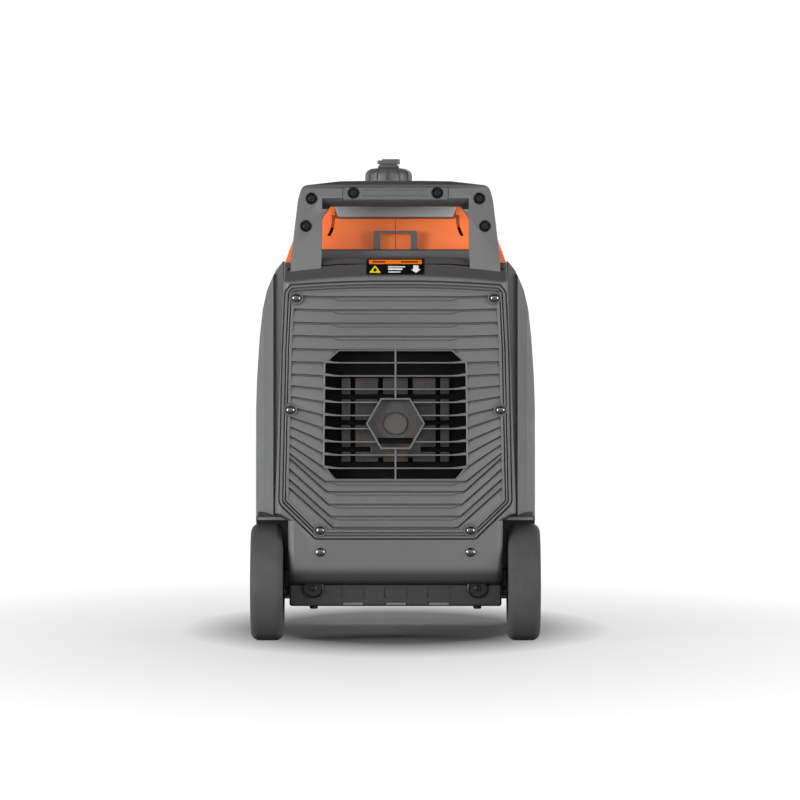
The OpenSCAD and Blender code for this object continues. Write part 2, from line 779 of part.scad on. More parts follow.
// ---------- control panel ----------
panel_y = front_y - 7;
dial_p = [-52, 280];
switch_p = [50, 280];
breaker_p = [0, 225];
earth_p = [72, 138];
twist_p = [38, 174];
socket_z = [152, 196];
module control_panel() {
  color(black) difference() {
    box(0.5 - recess_x, recess_x - 0.5, panel_y - 5, panel_y, recess_z0 + 0.5, recess_z1 - 0.5);
    rod_y(dial_p.x, dial_p.y, 4.05, 200, past);
    rod_y(breaker_p.x, breaker_p.y, 5.3, 200, past);
    box(switch_p.x - 8, switch_p.x + 8, 200, past, switch_p.y - 12.6, switch_p.y + 12.6);
    rod_y(earth_p.x, earth_p.y, 4.05, 200, past);
  }
}
module display_window() { color("darkslategray") box(-36, 36, panel_y, panel_y + 3, 318, 362); }
module power_sockets() {
  color("dimgray") difference() {
    union() {
      for (z = socket_z) box(-72, -28, panel_y, panel_y + 5, z - 16, z + 16);
      rod_y(twist_p.x, twist_p.y, 25, panel_y, panel_y + 6);
      box(-20, 20, panel_y, panel_y + 4, 246, 266);
    }
    for (z = socket_z) {
      for (x = [-57, -43]) box(x - 1.2, x + 1.2, panel_y + 1, panel_y + 6, z, z + 9);
      rod_y(-50, z - 7, 3, panel_y + 1, panel_y + 6);
    }
    for (a = [0:120:240]) translate([twist_p.x, 0, twist_p.y]) rotate([0, a, 0])
      box(11, 14, panel_y + 1, panel_y + 7, -6, 6);
    for (x = [-10, 10]) box(x - 6, x + 6, panel_y + 1, panel_y + 5, 253, 259);
  }
}
module engine_dial() {
  color(black) union() {
    rod_y(dial_p.x, dial_p.y, 20, panel_y + 0.4, panel_y + 7);
    box(dial_p.x - 4, dial_p.x + 4, panel_y + 6, panel_y + 17, dial_p.y - 18, dial_p.y + 18);
    rod_y(dial_p.x, dial_p.y, 4, panel_y - 8, panel_y + 1);
  }
}
module economy_switch() {
  color("firebrick") difference() {
    rod_x(panel_y - 7, switch_p.y, 12, switch_p.x - 7, switch_p.x + 7);
    box(0, 80, panel_y + 2, panel_y + 8, switch_p.y - 1, switch_p.y + 13);
  }
}
module breaker_button() {
  color("white") union() {
    rod_y(breaker_p.x, breaker_p.y, 5, panel_y - 8, panel_y + 5);
    rod_y(breaker_p.x, breaker_p.y, 7, panel_y - 10, panel_y - 8);
  }
}
module ground_terminal() {
  color("goldenrod") union() {
    rod_y(earth_p.x, earth_p.y, 4, panel_y - 10, panel_y + 14);
    rod_y(earth_p.x, earth_p.y, 8, panel_y, panel_y + 5);
    box(earth_p.x - 14, earth_p.x + 14, panel_y + 5, panel_y + 8, earth_p.y - 4, earth_p.y + 4);
  }
}

base_tray();
rear_frame();
front_frame();
side_cover_left();
side_cover_right();
service_door();
door_latch();
top_cover_left();
top_cover_right();
top_deck();
cover_keeper();
exhaust_grille();
grille_screws();
frame_screws();
warning_plate();
handle_rear_outer();
handle_rear_inner();
handle_front_outer();
handle_front_inner();
handle_grips();
handle_screws();
axle_brackets();
axle();
tyre_left();
tyre_right();
hub_left();
hub_right();
axle_caps();
front_feet();
tow_handle();
tow_grip();
tow_guides();
tow_button();
fuel_cap();
vent_knob();
filler_neck();
fuel_tank();
crankcase();
cylinder_barrel();
rocker_cover();
crankshaft();
rotor_fan();
stator();
recoil_housing();
recoil_grip();
muffler();
heat_shield();
exhaust_outlet();
carburettor();
air_cleaner();
spark_plug();
inverter_module();
engine_mounts();
control_panel();
display_window();
power_sockets();
engine_dial();
economy_switch();
breaker_button();
ground_terminal();
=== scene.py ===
# Looks of the portable generator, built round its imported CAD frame.
import json
import math
from collections import namedtuple

import bmesh
import bpy
from mathutils import Matrix, Vector


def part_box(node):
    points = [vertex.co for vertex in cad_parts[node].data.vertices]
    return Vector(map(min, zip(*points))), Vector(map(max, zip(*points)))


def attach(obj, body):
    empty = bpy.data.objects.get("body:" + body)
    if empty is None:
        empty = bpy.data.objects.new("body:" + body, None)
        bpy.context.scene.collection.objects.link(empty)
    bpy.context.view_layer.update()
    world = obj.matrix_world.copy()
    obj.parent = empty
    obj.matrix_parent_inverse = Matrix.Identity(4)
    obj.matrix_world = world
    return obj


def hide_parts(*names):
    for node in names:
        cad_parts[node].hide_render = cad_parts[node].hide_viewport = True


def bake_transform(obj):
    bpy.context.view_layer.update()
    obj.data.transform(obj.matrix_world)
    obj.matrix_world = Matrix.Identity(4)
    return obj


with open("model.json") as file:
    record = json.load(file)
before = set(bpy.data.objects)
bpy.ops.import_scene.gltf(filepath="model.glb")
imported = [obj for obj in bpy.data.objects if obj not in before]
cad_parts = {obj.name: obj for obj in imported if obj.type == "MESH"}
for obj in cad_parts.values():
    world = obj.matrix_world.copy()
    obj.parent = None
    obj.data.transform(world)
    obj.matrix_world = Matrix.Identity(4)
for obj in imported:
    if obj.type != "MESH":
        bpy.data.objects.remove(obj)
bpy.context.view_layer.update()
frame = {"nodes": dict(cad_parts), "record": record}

MM = 0.001                   # Blender works in metres; the object below is written in millimetres
Point = namedtuple("Point", "x y z")
SCENE = bpy.context.scene
COLLECTION = SCENE.collection
BODY_OF = {node: body for body, members in frame["record"]["behaviour"]["bodies"].items() for node in members}
SLOT_OF = {row["node"]: row["material_slot"] for row in frame["record"]["subparts"]}


def in_mm(position):
    return Point(*(value / MM for value in position))


def low(node):
    return in_mm(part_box(node)[0])


def high(node):
    return in_mm(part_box(node)[1])


def middle(node):
    return in_mm((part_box(node)[0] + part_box(node)[1]) / 2)


# ---------------------------------------------------------------- materials
NOISE_RANGE = (0.3, 0.7)     # where nearly all values of a noise lie
TILT_SHADE_RANGE = (0.2, 0.55)    # vertical part of a normal where the painted shade of faces that look up or down starts and is full


class Graph:
    """A small wrapper that makes a node material readable to write."""

    def __init__(self, name):
        self.material = bpy.data.materials.new(name)
        self.material.use_nodes = True
        self.tree = self.material.node_tree
        self.tree.nodes.clear()
        self.coords = self.add("ShaderNodeTexCoord").outputs["Object"]
        self.shader = self.add("ShaderNodeBsdfPrincipled")
        out = self.add("ShaderNodeOutputMaterial")
        self.link(self.shader.outputs["BSDF"], out.inputs["Surface"])

    def add(self, kind, **settings):
        node = self.tree.nodes.new(kind)
        for key, value in settings.items():
            setattr(node, key, value)
        return node

    def link(self, source, target):
        self.tree.links.new(source, target)

    def put(self, target, value):
        if isinstance(value, bpy.types.NodeSocket):
            self.link(value, target)
        else:
            target.default_value = value

    def set(self, name, value):
        """Puts a number, a colour or another node's output on a socket of the shader."""
        self.put(self.shader.inputs[name], value)

    def noise(self, scale, detail=2.0, stretch=None, roughness=0.5):
        node = self.add("ShaderNodeTexNoise")
        node.inputs["Scale"].default_value = scale
        node.inputs["Detail"].default_value = detail
        node.inputs["Roughness"].default_value = roughness
        vector = self.coords
        if stretch:
            mapping = self.add("ShaderNodeMapping")
            mapping.inputs["Scale"].default_value = stretch
            self.link(self.coords, mapping.inputs["Vector"])
            vector = mapping.outputs["Vector"]
        self.link(vector, node.inputs["Vector"])
        return node.outputs["Fac"]

    def ranged(self, value, low_in, high_in, low_out, high_out):
        node = self.add("ShaderNodeMapRange")
        for key, number in zip(("From Min", "From Max", "To Min", "To Max"),
                               (low_in, high_in, low_out, high_out)):
            node.inputs[key].default_value = number
        self.link(value, node.inputs["Value"])
        return node.outputs["Result"]

    def mix(self, factor, first, second):
        node = self.add("ShaderNodeMix", data_type="RGBA")
        self.put(node.inputs["Factor"], factor)
        self.put(node.inputs["A"], first)
        self.put(node.inputs["B"], second)
        return node.outputs["Result"]

    def math(self, operation, first, second=0.0):
        node = self.add("ShaderNodeMath", operation=operation)
        self.put(node.inputs[0], first)
        self.put(node.inputs[1], second)
        return node.outputs[0]

    def bump(self, height, strength, distance, after=None):
        node = self.add("ShaderNodeBump")
        node.inputs["Strength"].default_value = strength
        node.inputs["Distance"].default_value = distance
        self.link(height, node.inputs["Height"])
        if after:
            self.link(after, node.inputs["Normal"])
        return node.outputs["Normal"]

    # ambient occlusion, used to paint shade into hollows and creases
    def occlusion_shade(self, reach):
        node = self.add("ShaderNodeAmbientOcclusion", samples=6)
        node.inputs["Distance"].default_value = reach
        return node.outputs["AO"]

    def edges(self):
        return self.add("ShaderNodeNewGeometry").outputs["Pointiness"]


def shade(colour, factor):
    return (*(min(1.0, c * factor) for c in colour), 1.0)


def plastic(name, colour, rough=0.5, grain=1500, grain_depth=0.00012, crevice_shade_depth=0.35, coat=0.0, reach=0.012,
            painted_glow=0.0, painted_tilt_shade=0.0):
    """Moulded plastic: fine spark texture, slow tone variation, painted shade in hollows and lighter edges
    rubbed by wear.

    reach is how far the painted shade in hollows spreads; the emission argument paints light on the part, and
    the last argument paints shade on what looks up or down.
    """
    g = Graph(name)
    tone = g.mix(g.ranged(g.noise(7, 4), *NOISE_RANGE, 0, 1), shade(colour, 0.93), shade(colour, 1.07))
    speck = g.mix(g.ranged(g.noise(grain * 0.7, 2), 0.35, 0.65, 0, 1), shade(colour, 0.9), shade(colour, 1.1))
    base = g.mix(0.35, tone, speck)
    wear_and_painted_shade = g.mix(g.ranged(g.edges(), 0.53, 0.62, 0, 0.35), base, shade(colour, 1.6))
    # painted shade: ambient occlusion darkens hollows and creases
    painted_crevice_shade = g.ranged(g.occlusion_shade(reach), 0.25, 0.95, crevice_shade_depth, 0)
    # painted shade: faces that look up or down are darkened
    if painted_tilt_shade:
        split = g.add("ShaderNodeSeparateXYZ")
        g.link(g.add("ShaderNodeNewGeometry").outputs["Normal"], split.inputs["Vector"])
        level = g.math("ABSOLUTE", split.outputs["Z"])
        wear_and_painted_shade = g.mix(g.ranged(level, *TILT_SHADE_RANGE, 0, painted_tilt_shade), wear_and_painted_shade, shade(colour, 0.3))
    g.set("Base Color", g.mix(painted_crevice_shade, wear_and_painted_shade, shade(colour, 0.35)))
    g.set("Roughness", g.ranged(g.noise(28, 5, roughness=0.6), *NOISE_RANGE, rough - 0.06, rough + 0.08))
    fine = g.bump(g.noise(grain, 3), 0.35, grain_depth)
    g.set("Normal", g.bump(g.noise(11, 2), 0.08, 0.002, fine))
    # painted light: a weak emission, though the part is no lamp
    g.set("Emission Color", shade(colour, 1.0))
    g.set("Emission Strength", painted_glow)
    g.set("Coat Weight", coat)
    g.set("Coat Roughness", 0.25)
    return g.material


def rubber(name, colour, rough=0.72):
    g = Graph(name)
    dust = g.mix(g.ranged(g.noise(16, 6, roughness=0.65), 0.4, 0.72, 0, 0.5), shade(colour, 0.9),
                 shade(colour, 1.5))
    # painted shade: ambient occlusion darkens hollows and creases
    painted_crevice_shade = g.ranged(g.occlusion_shade(0.008), 0.3, 0.95, 0.45, 0)
    g.set("Base Color", g.mix(painted_crevice_shade, dust, shade(colour, 0.4)))
    g.set("Roughness", g.ranged(g.noise(40, 4), *NOISE_RANGE, rough - 0.08, rough + 0.1))
    g.set("Normal", g.bump(g.noise(900, 4), 0.3, 0.0002))
    g.set("Specular IOR Level", 0.35)
    return g.material


def metal(name, colour, rough=0.32, brushed=(1, 1, 60), metallic=1.0, pits=0.0):
    """Bare or plated metal, brushed along the axis the stretch leaves short; pits give a cast surface."""
    g = Graph(name)
    lines = g.noise(60, 5, stretch=brushed)
    smears = g.mix(g.ranged(lines, *NOISE_RANGE, 0, 1), shade(colour, 0.85), shade(colour, 1.12))
    # painted shade: ambient occlusion darkens hollows and creases
    painted_crevice_shade = g.ranged(g.occlusion_shade(0.006), 0.3, 0.95, 0.6, 0)
    g.set("Base Color", g.mix(painted_crevice_shade, smears, shade(colour, 0.25)))
    g.set("Roughness", g.ranged(lines, *NOISE_RANGE, rough - 0.08, rough + 0.12))
    g.set("Metallic", metallic)
    height = g.noise(420, 5) if pits else lines
    g.set("Normal", g.bump(height, 0.25 if pits else 0.08, 0.0004))
    return g.material


def scorched(name, colour, heat_depth=0.55, shine=0.5):
    """Heat resistant paint, browned and flaked in patches."""
    g = Graph(name)
    heat = g.ranged(g.noise(22, 7, roughness=0.7), 0.48, 0.66, 0, heat_depth)
    paint = g.mix(heat, shade(colour, 1.0), (0.16, 0.1, 0.065, 1))
    # painted shade: ambient occlusion darkens hollows and creases
    painted_crevice_shade = g.ranged(g.occlusion_shade(0.012), 0.2, 0.95, 0.6, 0)
    g.set("Base Color", g.mix(painted_crevice_shade, paint, shade(colour, 0.3)))
    g.set("Roughness", g.ranged(heat, 0, 0.55, 0.5, 0.8))
    g.set("Metallic", 0.35 if shine > 0.3 else 0.0)
    g.set("Specular IOR Level", shine)
    g.set("Normal", g.bump(g.noise(500, 4), 0.3, 0.0003))
    return g.material


def windings(name, colour):
    g = Graph(name)
    wave = g.add("ShaderNodeTexWave", bands_direction="Z")
    wave.inputs["Scale"].default_value = 180
    wave.inputs["Distortion"].default_value = 1.5
    g.link(g.coords, wave.inputs["Vector"])
    g.set("Base Color", g.mix(wave.outputs["Fac"], shade(colour, 0.5), shade(colour, 1.3)))
    g.set("Normal", g.bump(wave.outputs["Fac"], 0.5, 0.0008))
    g.set("Metallic", 0.7)
    g.set("Roughness", 0.35)
    return g.material


def printed(name, colour, rough=0.35):
    """Printed label film or a moulded insert: an almost even ink with faint mottling and scuffs."""
    g = Graph(name)
    scuffs = g.ranged(g.noise(120, 6, roughness=0.7), 0.56, 0.75, 0, 0.35)
    g.set("Base Color", g.mix(scuffs, shade(colour, 1.0), shade(colour, 0.7)))
    g.set("Roughness", g.ranged(g.noise(60, 3), *NOISE_RANGE, rough - 0.05, rough + 0.15))
    g.set("Normal", g.bump(g.noise(700, 3), 0.1, 0.0001))
    return g.material


def screen_glass(name):
    g = Graph(name)
    sweep = g.ranged(g.noise(9, 2), *NOISE_RANGE, 0, 1)
    g.set("Base Color", g.mix(sweep, (0.008, 0.012, 0.014, 1), (0.02, 0.027, 0.03, 1)))
    g.set("Roughness", g.ranged(g.noise(50, 3), *NOISE_RANGE, 0.06, 0.14))
    g.set("Coat Weight", 0.6)
    return g.material


GREY = (0.155, 0.157, 0.16)
# painted shade: body plastic darkens faces that look up or down; painted light: the orange plastic has a weak
# emission
MATERIALS = {"body_plastic": plastic("body plastic", GREY, 0.5, painted_tilt_shade=0.75),
             "dark_plastic": plastic("dark plastic", (0.035, 0.036, 0.038), 0.5),
             "black_plastic": plastic("black plastic", (0.014, 0.014, 0.015), 0.38, grain=1800,
                                      grain_depth=0.00006), "orange_plastic": plastic("orange plastic",
        (0.95, 0.19, 0.05), 0.32, grain=900, grain_depth=0.00003, crevice_shade_depth=0.2, coat=0.15, painted_glow=0.22),
             "rubber": rubber("grip rubber", (0.035, 0.035, 0.036)),
             "tyre_rubber": rubber("tyre rubber", (0.055, 0.055, 0.056), 0.66),
             "steel": metal("zinc plated steel", (0.5, 0.5, 0.49)),
             "dark_steel": metal("black coated steel", (0.04, 0.04, 0.042), 0.4, (1, 1, 1), 0.5, 1.0),
             "cast_alloy": metal("cast alloy", (0.42, 0.42, 0.41), 0.45, (1, 1, 1), 0.9, 1.0),
             "exhaust_steel": scorched("exhaust paint", (0.05, 0.05, 0.05)),
             "copper": windings("copper windings", (0.5, 0.2, 0.08)),
             "ceramic": printed("glazed ceramic", (0.8, 0.78, 0.72), 0.2),
             "label": printed("label orange", (0.85, 0.2, 0.02)),
             "switch_red": printed("switch red", (0.45, 0.02, 0.012), 0.3),
             "button_white": printed("button white", (0.72, 0.72, 0.7), 0.35),
             "display": screen_glass("display glass"),}


# ---------------------------------------------------------------- building helpers, in millimetres
POLE = 0.02                  # radius at which a turned solid closes on its axis
SHORT = 0.05                 # points nearer than this are one point
SHORTEST_CORNER = 0.03
SIDES = (1, -1)


def bm_mesh(bm):
    bmesh.ops.recalc_face_normals(bm, faces=bm.faces)
    mesh = bpy.data.meshes.new("work")
    bm.to_mesh(mesh)
    bm.free()
    return mesh


def place(axis, u, v, along):
    """A point from its two outline values and its place along an axis."""
    point = {"x": (along, u, v), "y": (u, along, v), "z": (u, v, along)}[axis]
    return Vector(point) * MM


def both_sides(half):
    return half + [(-u, v) for u, v in reversed(half)]


def filleted(outline, radius, steps=5):
    """The closed outline with each corner rounded; radius is one number or one for each corner."""
    count = len(outline)
    radii = radius if isinstance(radius, (list, tuple)) else [radius] * count
    points = []
    for i, corner in enumerate(outline):
        here = Vector(corner)
        if radii[i] <= 0:
            points.append(tuple(here))
            continue
        to_last = Vector(outline[i - 1]) - here
        to_next = Vector(outline[(i + 1) % count]) - here
        half_angle = to_last.angle(to_next) / 2
        reach = min(radii[i] / max(math.tan(half_angle), 1e-6), to_last.length * 0.48, to_next.length * 0.48)
        reach = max(reach, SHORTEST_CORNER)
        start = here + to_last.normalized() * reach
        end = here + to_next.normalized() * reach
        for step in range(steps + 1):
            t = step / steps
            points.append(tuple(start * (1 - t) ** 2 + here * 2 * t * (1 - t) + end * t ** 2))
    return points


def clean(outline):
    points = []
    for point in outline:
        if not points or (Vector(point) - Vector(points[-1])).length > SHORT:
            points.append(point)
    if (Vector(points[0]) - Vector(points[-1])).length <= SHORT:
        points.pop()
    return points


def loft(rings, closed=False, ladder=False):
    """Rings of world points joined into one solid; open ends are capped, in rungs when ladder is set."""
    bm = bmesh.new()
    rows = [[bm.verts.new(point) for point in ring] for ring in rings]
    pairs = list(zip(rows, rows[1:] + rows[:1])) if closed else list(zip(rows, rows[1:]))
    for here, after in pairs:
        for i in range(len(here)):
            j = (i + 1) % len(here)
            bm.faces.new((here[i], here[j], after[j], after[i]))
    for row, step in ((rows[0], 1), (rows[-1], -1)) if not closed else ():
        last = len(row) - 1
        if not ladder:
            bm.faces.new(row[::step])
            continue
        for i in range(last // 2):
            bm.faces.new((row[i], row[i + 1], row[last - i - 1], row[last - i])[::step])
    return bm_mesh(bm)


def prism(outline, axis, start, end):
    return loft([[place(axis, u, v, along) for u, v in outline] for along in (start, end)])


def arc_points(centre, radius, start, end, steps):
    return [(centre[0] + radius * math.cos(math.radians(start + (end - start) * i / steps)),
             centre[1] + radius * math.sin(math.radians(start + (end - start) * i / steps)))
            for i in range(steps + 1)]


def oblong(u0, u1, v0, v1):
    return [(u0, v0), (u1, v0), (u1, v1), (u0, v1)]


def block(x0, x1, y0, y1, z0, z1):
    return prism(oblong(x0, x1, z0, z1), "y", y0, y1)


def pin(axis, u, v, radius, start, end, steps=40):
    ring = [(u + radius * math.cos(2 * math.pi * i / steps), v + radius * math.sin(2 * math.pi * i / steps))
            for i in range(steps)]
    return prism(ring, axis, start, end)


def turned(profile, axis, u, v, steps=72, flute=None):
    """A profile of (along, radius) turned about an axis; flute(angle, along) trims the radius."""
    rings = []
    for i in range(steps):
        angle = 2 * math.pi * i / steps
        ring = []
        for along, radius in profile:
            r = radius - (flute(angle, along) if flute else 0)
            ring.append(place(axis, u + r * math.cos(angle), v + r * math.sin(angle), along))
        rings.append(ring)
    return loft(rings, closed=True)


def spun(base, profile, axis, u, v, steps=72, flute=None):
    """A solid turned from (along, radius) pairs counted from base, its ends closed on the axis."""
    points = [(base + along, radius) for along, radius in profile]
    return turned([(points[0][0], POLE)] + points + [(points[-1][0], POLE)], axis, u, v, steps, flute)


def merged(*meshes):
    bm = bmesh.new()
    for mesh in meshes:
        bm.from_mesh(mesh)
        bpy.data.meshes.remove(mesh)
    mesh = bpy.data.meshes.new("work")
    bm.to_mesh(mesh)
    bm.free()
    return mesh


def moved(mesh, matrix):
    mesh.transform(matrix)
    if matrix.to_3x3().determinant() < 0:
        mesh.flip_normals()
    return mesh


MIRROR_X = Matrix.Scale(-1, 4, (1, 0, 0))
MIRROR_Y = Matrix.Scale(-1, 4, (0, 1, 0))


def with_mirror(mesh, matrix):
    return merged(mesh.copy(), moved(mesh, matrix))


def changed(mesh, kind, **settings):
    """The mesh after one modifier."""
    carrier = bpy.data.objects.new("work", mesh)
    COLLECTION.objects.link(carrier)
    modifier = carrier.modifiers.new("work", kind)
    for key, value in settings.items():
        setattr(modifier, key, value)
    bpy.context.view_layer.update()
    result = bpy.data.meshes.new_from_object(carrier.evaluated_get(bpy.context.evaluated_depsgraph_get()))
    bpy.data.objects.remove(carrier)
    return result


def joined(mesh, tool, operation="DIFFERENCE"):
    """Boolean of two solids; the tool is used up."""
    other = bpy.data.objects.new("tool", tool)
    COLLECTION.objects.link(other)
    result = changed(mesh.copy(), "BOOLEAN", object=other, operation=operation, solver="MANIFOLD")
    if len(result.vertices) in (0, len(mesh.vertices)):
        result = changed(mesh, "BOOLEAN", object=other, operation=operation, solver="EXACT")
    bpy.data.objects.remove(other)
    return result


def cut(mesh, *tools):
    for tool in tools:
        mesh = joined(mesh, tool)
    return mesh


def rounded(mesh, width, segments=3, angle=28, clamp=True):
    return changed(mesh, "BEVEL", width=width * MM, segments=segments, limit_method="ANGLE",
                   angle_limit=math.radians(angle), use_clamp_overlap=clamp,)


def piece(name, mesh, slot=None, replaced=(), body=None, material=None, smooth_angle=32):
    """A finished piece on its body, smooth but for its sharp edges."""
    replaced = (replaced,) if isinstance(replaced, str) else tuple(replaced)
    source = replaced[0] if replaced else None
    slot = slot or SLOT_OF[source]
    mesh.name = name
    mesh.materials.clear()
    mesh.materials.append(material or MATERIALS[slot])
    for polygon in mesh.polygons:
        polygon.use_smooth = True
        polygon.material_index = 0
    mesh.set_sharp_from_angle(angle=math.radians(smooth_angle))
    obj = bpy.data.objects.new(name, mesh)
    COLLECTION.objects.link(obj)
    weighted = obj.modifiers.new("even normals", "WEIGHTED_NORMAL")
    weighted.keep_sharp = True
    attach(obj, body or (BODY_OF[source] if source else "root"))
    if replaced:
        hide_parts(*replaced)
    return obj


def refined(node, width, segments=2):
    """Stands for a CAD node: the same solid with its edges rounded."""
    bm = bmesh.new()
    bm.from_mesh(frame["nodes"][node].data)
    bmesh.ops.remove_doubles(bm, verts=bm.verts, dist=4e-6)
    mesh = rounded(bm_mesh(bm), width, segments, 30, clamp=False)
    return piece(node + "_shell", mesh, replaced=node)


# ---------------------------------------------------------------- camera, light and floor, in metres
SENSOR = 36
VIEW_DISTANCE = 6.0
FRAME_WIDTH = 0.864          # what the picture spans at the exhaust face
EYE_HEIGHT = 0.2615
SIDE_STEP = 0.0049
HORIZON_LIGHT = 1.45
ZENITH_LIGHT = 0.03
PAINTED_SHADOW_EDGE = (0.17, 0.31)   # painted shadow: the floor's emission brightens it between these distances from the middle of the object
WHITE_EDGE = (0.3, 1.05)     # and turns white between these


def make_camera():
    data = bpy.data.cameras.new("camera")
    data.sensor_width = SENSOR
    data.lens = SENSOR * VIEW_DISTANCE / FRAME_WIDTH
    data.clip_end = 100
    camera = bpy.data.objects.new("camera", data)
    COLLECTION.objects.link(camera)
    camera.location = (SIDE_STEP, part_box("rear_frame")[0].y - VIEW_DISTANCE, EYE_HEIGHT)
    camera.rotation_euler = (math.radians(90), 0, 0)
    SCENE.camera = camera


def area_light(name, spot, target, size, power):
    data = bpy.data.lights.new(name, "AREA")
    data.shape = "RECTANGLE"
    data.size, data.size_y = size
    data.energy = power
    light = bpy.data.objects.new(name, data)
    COLLECTION.objects.link(light)
    light.location = spot
    light.rotation_euler = (Vector(target) - Vector(spot)).to_track_quat("-Z", "Y").to_euler()


def make_sky():
    """White to the eye; as light it is bright at the horizon and dim overhead."""
    world = bpy.data.worlds.new("studio")
    SCENE.world = world
    world.use_nodes = True
    tree = world.node_tree
    tree.nodes.clear()
    add = tree.nodes.new
    out, mix, path = add("ShaderNodeOutputWorld"), add("ShaderNodeMixShader"), add("ShaderNodeLightPath")
    seen, lit = add("ShaderNodeBackground"), add("ShaderNodeBackground")
    coords, split, ramp = add("ShaderNodeTexCoord"), add("ShaderNodeSeparateXYZ"), add("ShaderNodeMapRange")
    seen.inputs["Strength"].default_value = 1.05
    for key, number in zip(("From Min", "From Max", "To Min", "To Max"),
                           (0.02, 0.42, HORIZON_LIGHT, ZENITH_LIGHT)):
        ramp.inputs[key].default_value = number
    links = tree.links.new
    links(coords.outputs["Generated"], split.inputs["Vector"])
    links(split.outputs["Z"], ramp.inputs["Value"])
    links(ramp.outputs["Result"], lit.inputs["Strength"])
    links(path.outputs["Is Camera Ray"], mix.inputs["Fac"])
    links(lit.outputs["Background"], mix.inputs[1])
    links(seen.outputs["Background"], mix.inputs[2])
    links(mix.outputs["Shader"], out.inputs["Surface"])
    for background in (seen, lit):
        background.inputs["Color"].default_value = (1, 1, 1, 1)


def make_floor():
    """Pale floor with a painted shadow round the object: its emission, which shows to the camera only, is nil
    near the object and turns the floor to even white away from it.
    """
    g = Graph("floor")
    g.set("Base Color", g.mix(g.noise(0.6, 2), (0.29, 0.29, 0.293, 1), (0.31, 0.31, 0.31, 1)))
    g.set("Roughness", 0.8)
    g.set("Specular IOR Level", 0.2)
    scaled = g.add("ShaderNodeVectorMath", operation="MULTIPLY_ADD")
    scaled.inputs[1].default_value = (1.25, 0.4, 1)
    scaled.inputs[2].default_value = (0, -0.05, 0)
    g.link(g.coords, scaled.inputs[0])
    length = g.add("ShaderNodeVectorMath", operation="LENGTH")
    g.link(scaled.outputs["Vector"], length.inputs[0])
    # painted shadow: no emission near the object, rising further out
    far = g.ranged(length.outputs["Value"], *PAINTED_SHADOW_EDGE, 0.0, 0.6)
    farther = g.ranged(length.outputs["Value"], *WHITE_EDGE, 0.0, 0.35)
    g.set("Emission Color", (1, 1, 1, 1))
    camera_ray = g.add("ShaderNodeLightPath").outputs["Is Camera Ray"]
    g.set("Emission Strength", g.math("MULTIPLY", g.math("ADD", far, farther), camera_ray))
    bm = bmesh.new()
    bmesh.ops.create_grid(bm, x_segments=8, y_segments=8, size=30)
    mesh = bpy.data.meshes.new("floor")
    bm.to_mesh(mesh)
    bm.free()
    mesh.materials.append(g.material)
    floor = bpy.data.objects.new("floor", mesh)
    COLLECTION.objects.link(floor)


def make_studio():
    area_light("key", (-3.3, -2.7, 0.65), (0, -0.2, 0.25), (2.2, 1.2), 128)
    area_light("fill", (3.5, -2.3, 0.55), (0, -0.2, 0.25), (2.2, 1.0), 90)
    area_light("back", (0.6, 3.0, 1.6), (0, 0, 0.3), (2.4, 1.6), 30)
    make_sky()
    make_floor()
    SCENE.view_settings.view_transform = "Standard"


make_camera()
make_studio()


# ---------------------------------------------------------------- measures, most of them taken from the frame
FACE = low("rear_frame").y            # exhaust face
END = high("front_frame").y           # control face
BULGE = high("rear_frame").x          # half width of an end frame above the wheels
FOOT_Z = low("rear_frame").z
AXLE_Y, AXLE_Z = middle("axle").y, middle("axle").z
SIDE = high("side_cover_right").x
GRILLE_PITCH = 14.24
TOP_SLAT = 302.5
STEP_LINES = 5                             # steps above the opening
SLATS = 9
OUTLET_Z = middle("exhaust_outlet").z - 1.55


# ---------------------------------------------------------------- end frames
CORNER = 8.0                               # rounding of the upright edges
FRAME_DEPTH = 63


def half_width(z):
    """Half width of an end frame at a height."""
    marks = [(FOOT_Z, 114.5), (FOOT_Z + 3, 116), (131, 116), (139, BULGE), (151, BULGE), (404, 121),
             (425, 119)]
    for (z0, w0), (z1, w1) in zip(marks, marks[1:]):
        if z <= z1:
            return w0 + (w1 - w0) * max(0.0, z - z0) / (z1 - z0)
    return marks[-1][1]


def frame_profile(s, depth):
    """Side profile (inward, z) at s from -1 to 1 across the frame: foot, face, arched fold, sloped band."""
    arch = 1 - abs(s) ** 2.4
    fold, top = 390 + 6.2 * arch, 410.5 + 6.5 * arch
    points = []
    reach, rise = 25, 22
    for i in range(9):
        angle = math.pi / 2 * i / 8
        points.append((reach * (1 - math.sin(angle)), FOOT_Z + rise * (1 - math.cos(angle))))
    points += [(0, 110), (0, 131), (0, 139), (0, 151), (0, 240), (0, 330), (0, fold - 3), (0.5, fold - 0.9)]
    points += [(1.8, fold + 0.9), (15.8, top - 1.2), (17.5, top - 0.2), (19.5, top)]
    return points + [(depth, z) for inward, z in reversed(points)]


def frame_solid(depth, sign):
    """Lofted end frame; sign is 1 at the exhaust end and -1 at the control end."""
    turns, flats = 6, 11
    stations = [(-1.0, i) for i in range(turns)] + [(i / flats, turns) for i in range(-flats, flats + 1)]
    stations += [(1.0, i) for i in reversed(range(turns))]
    rings = []
    for s, i in stations:
        angle = math.pi / 2 * i / turns
        ring = []
        for inward, z in frame_profile(s, depth):
            half = half_width(z)
            x = s * (half - CORNER) + math.copysign(CORNER * math.cos(angle), s) * (i < turns)
            fade = max(0.0, 1 - inward / (depth * 0.9))
            ring.append(Vector((x, sign * (FACE + inward + CORNER * (1 - math.sin(angle)) * fade), z)) * MM)
        rings.append(ring)
    return loft(rings, ladder=True)


GRILLE_HALF = [(86, 112), (125, 150), (121.5, 315), (118.5, 378)]
GRILLE_RADII = [4, 10, 30, 9, 4]
PANEL_GAP = 1.7                            # how far its seat is wider than the panel


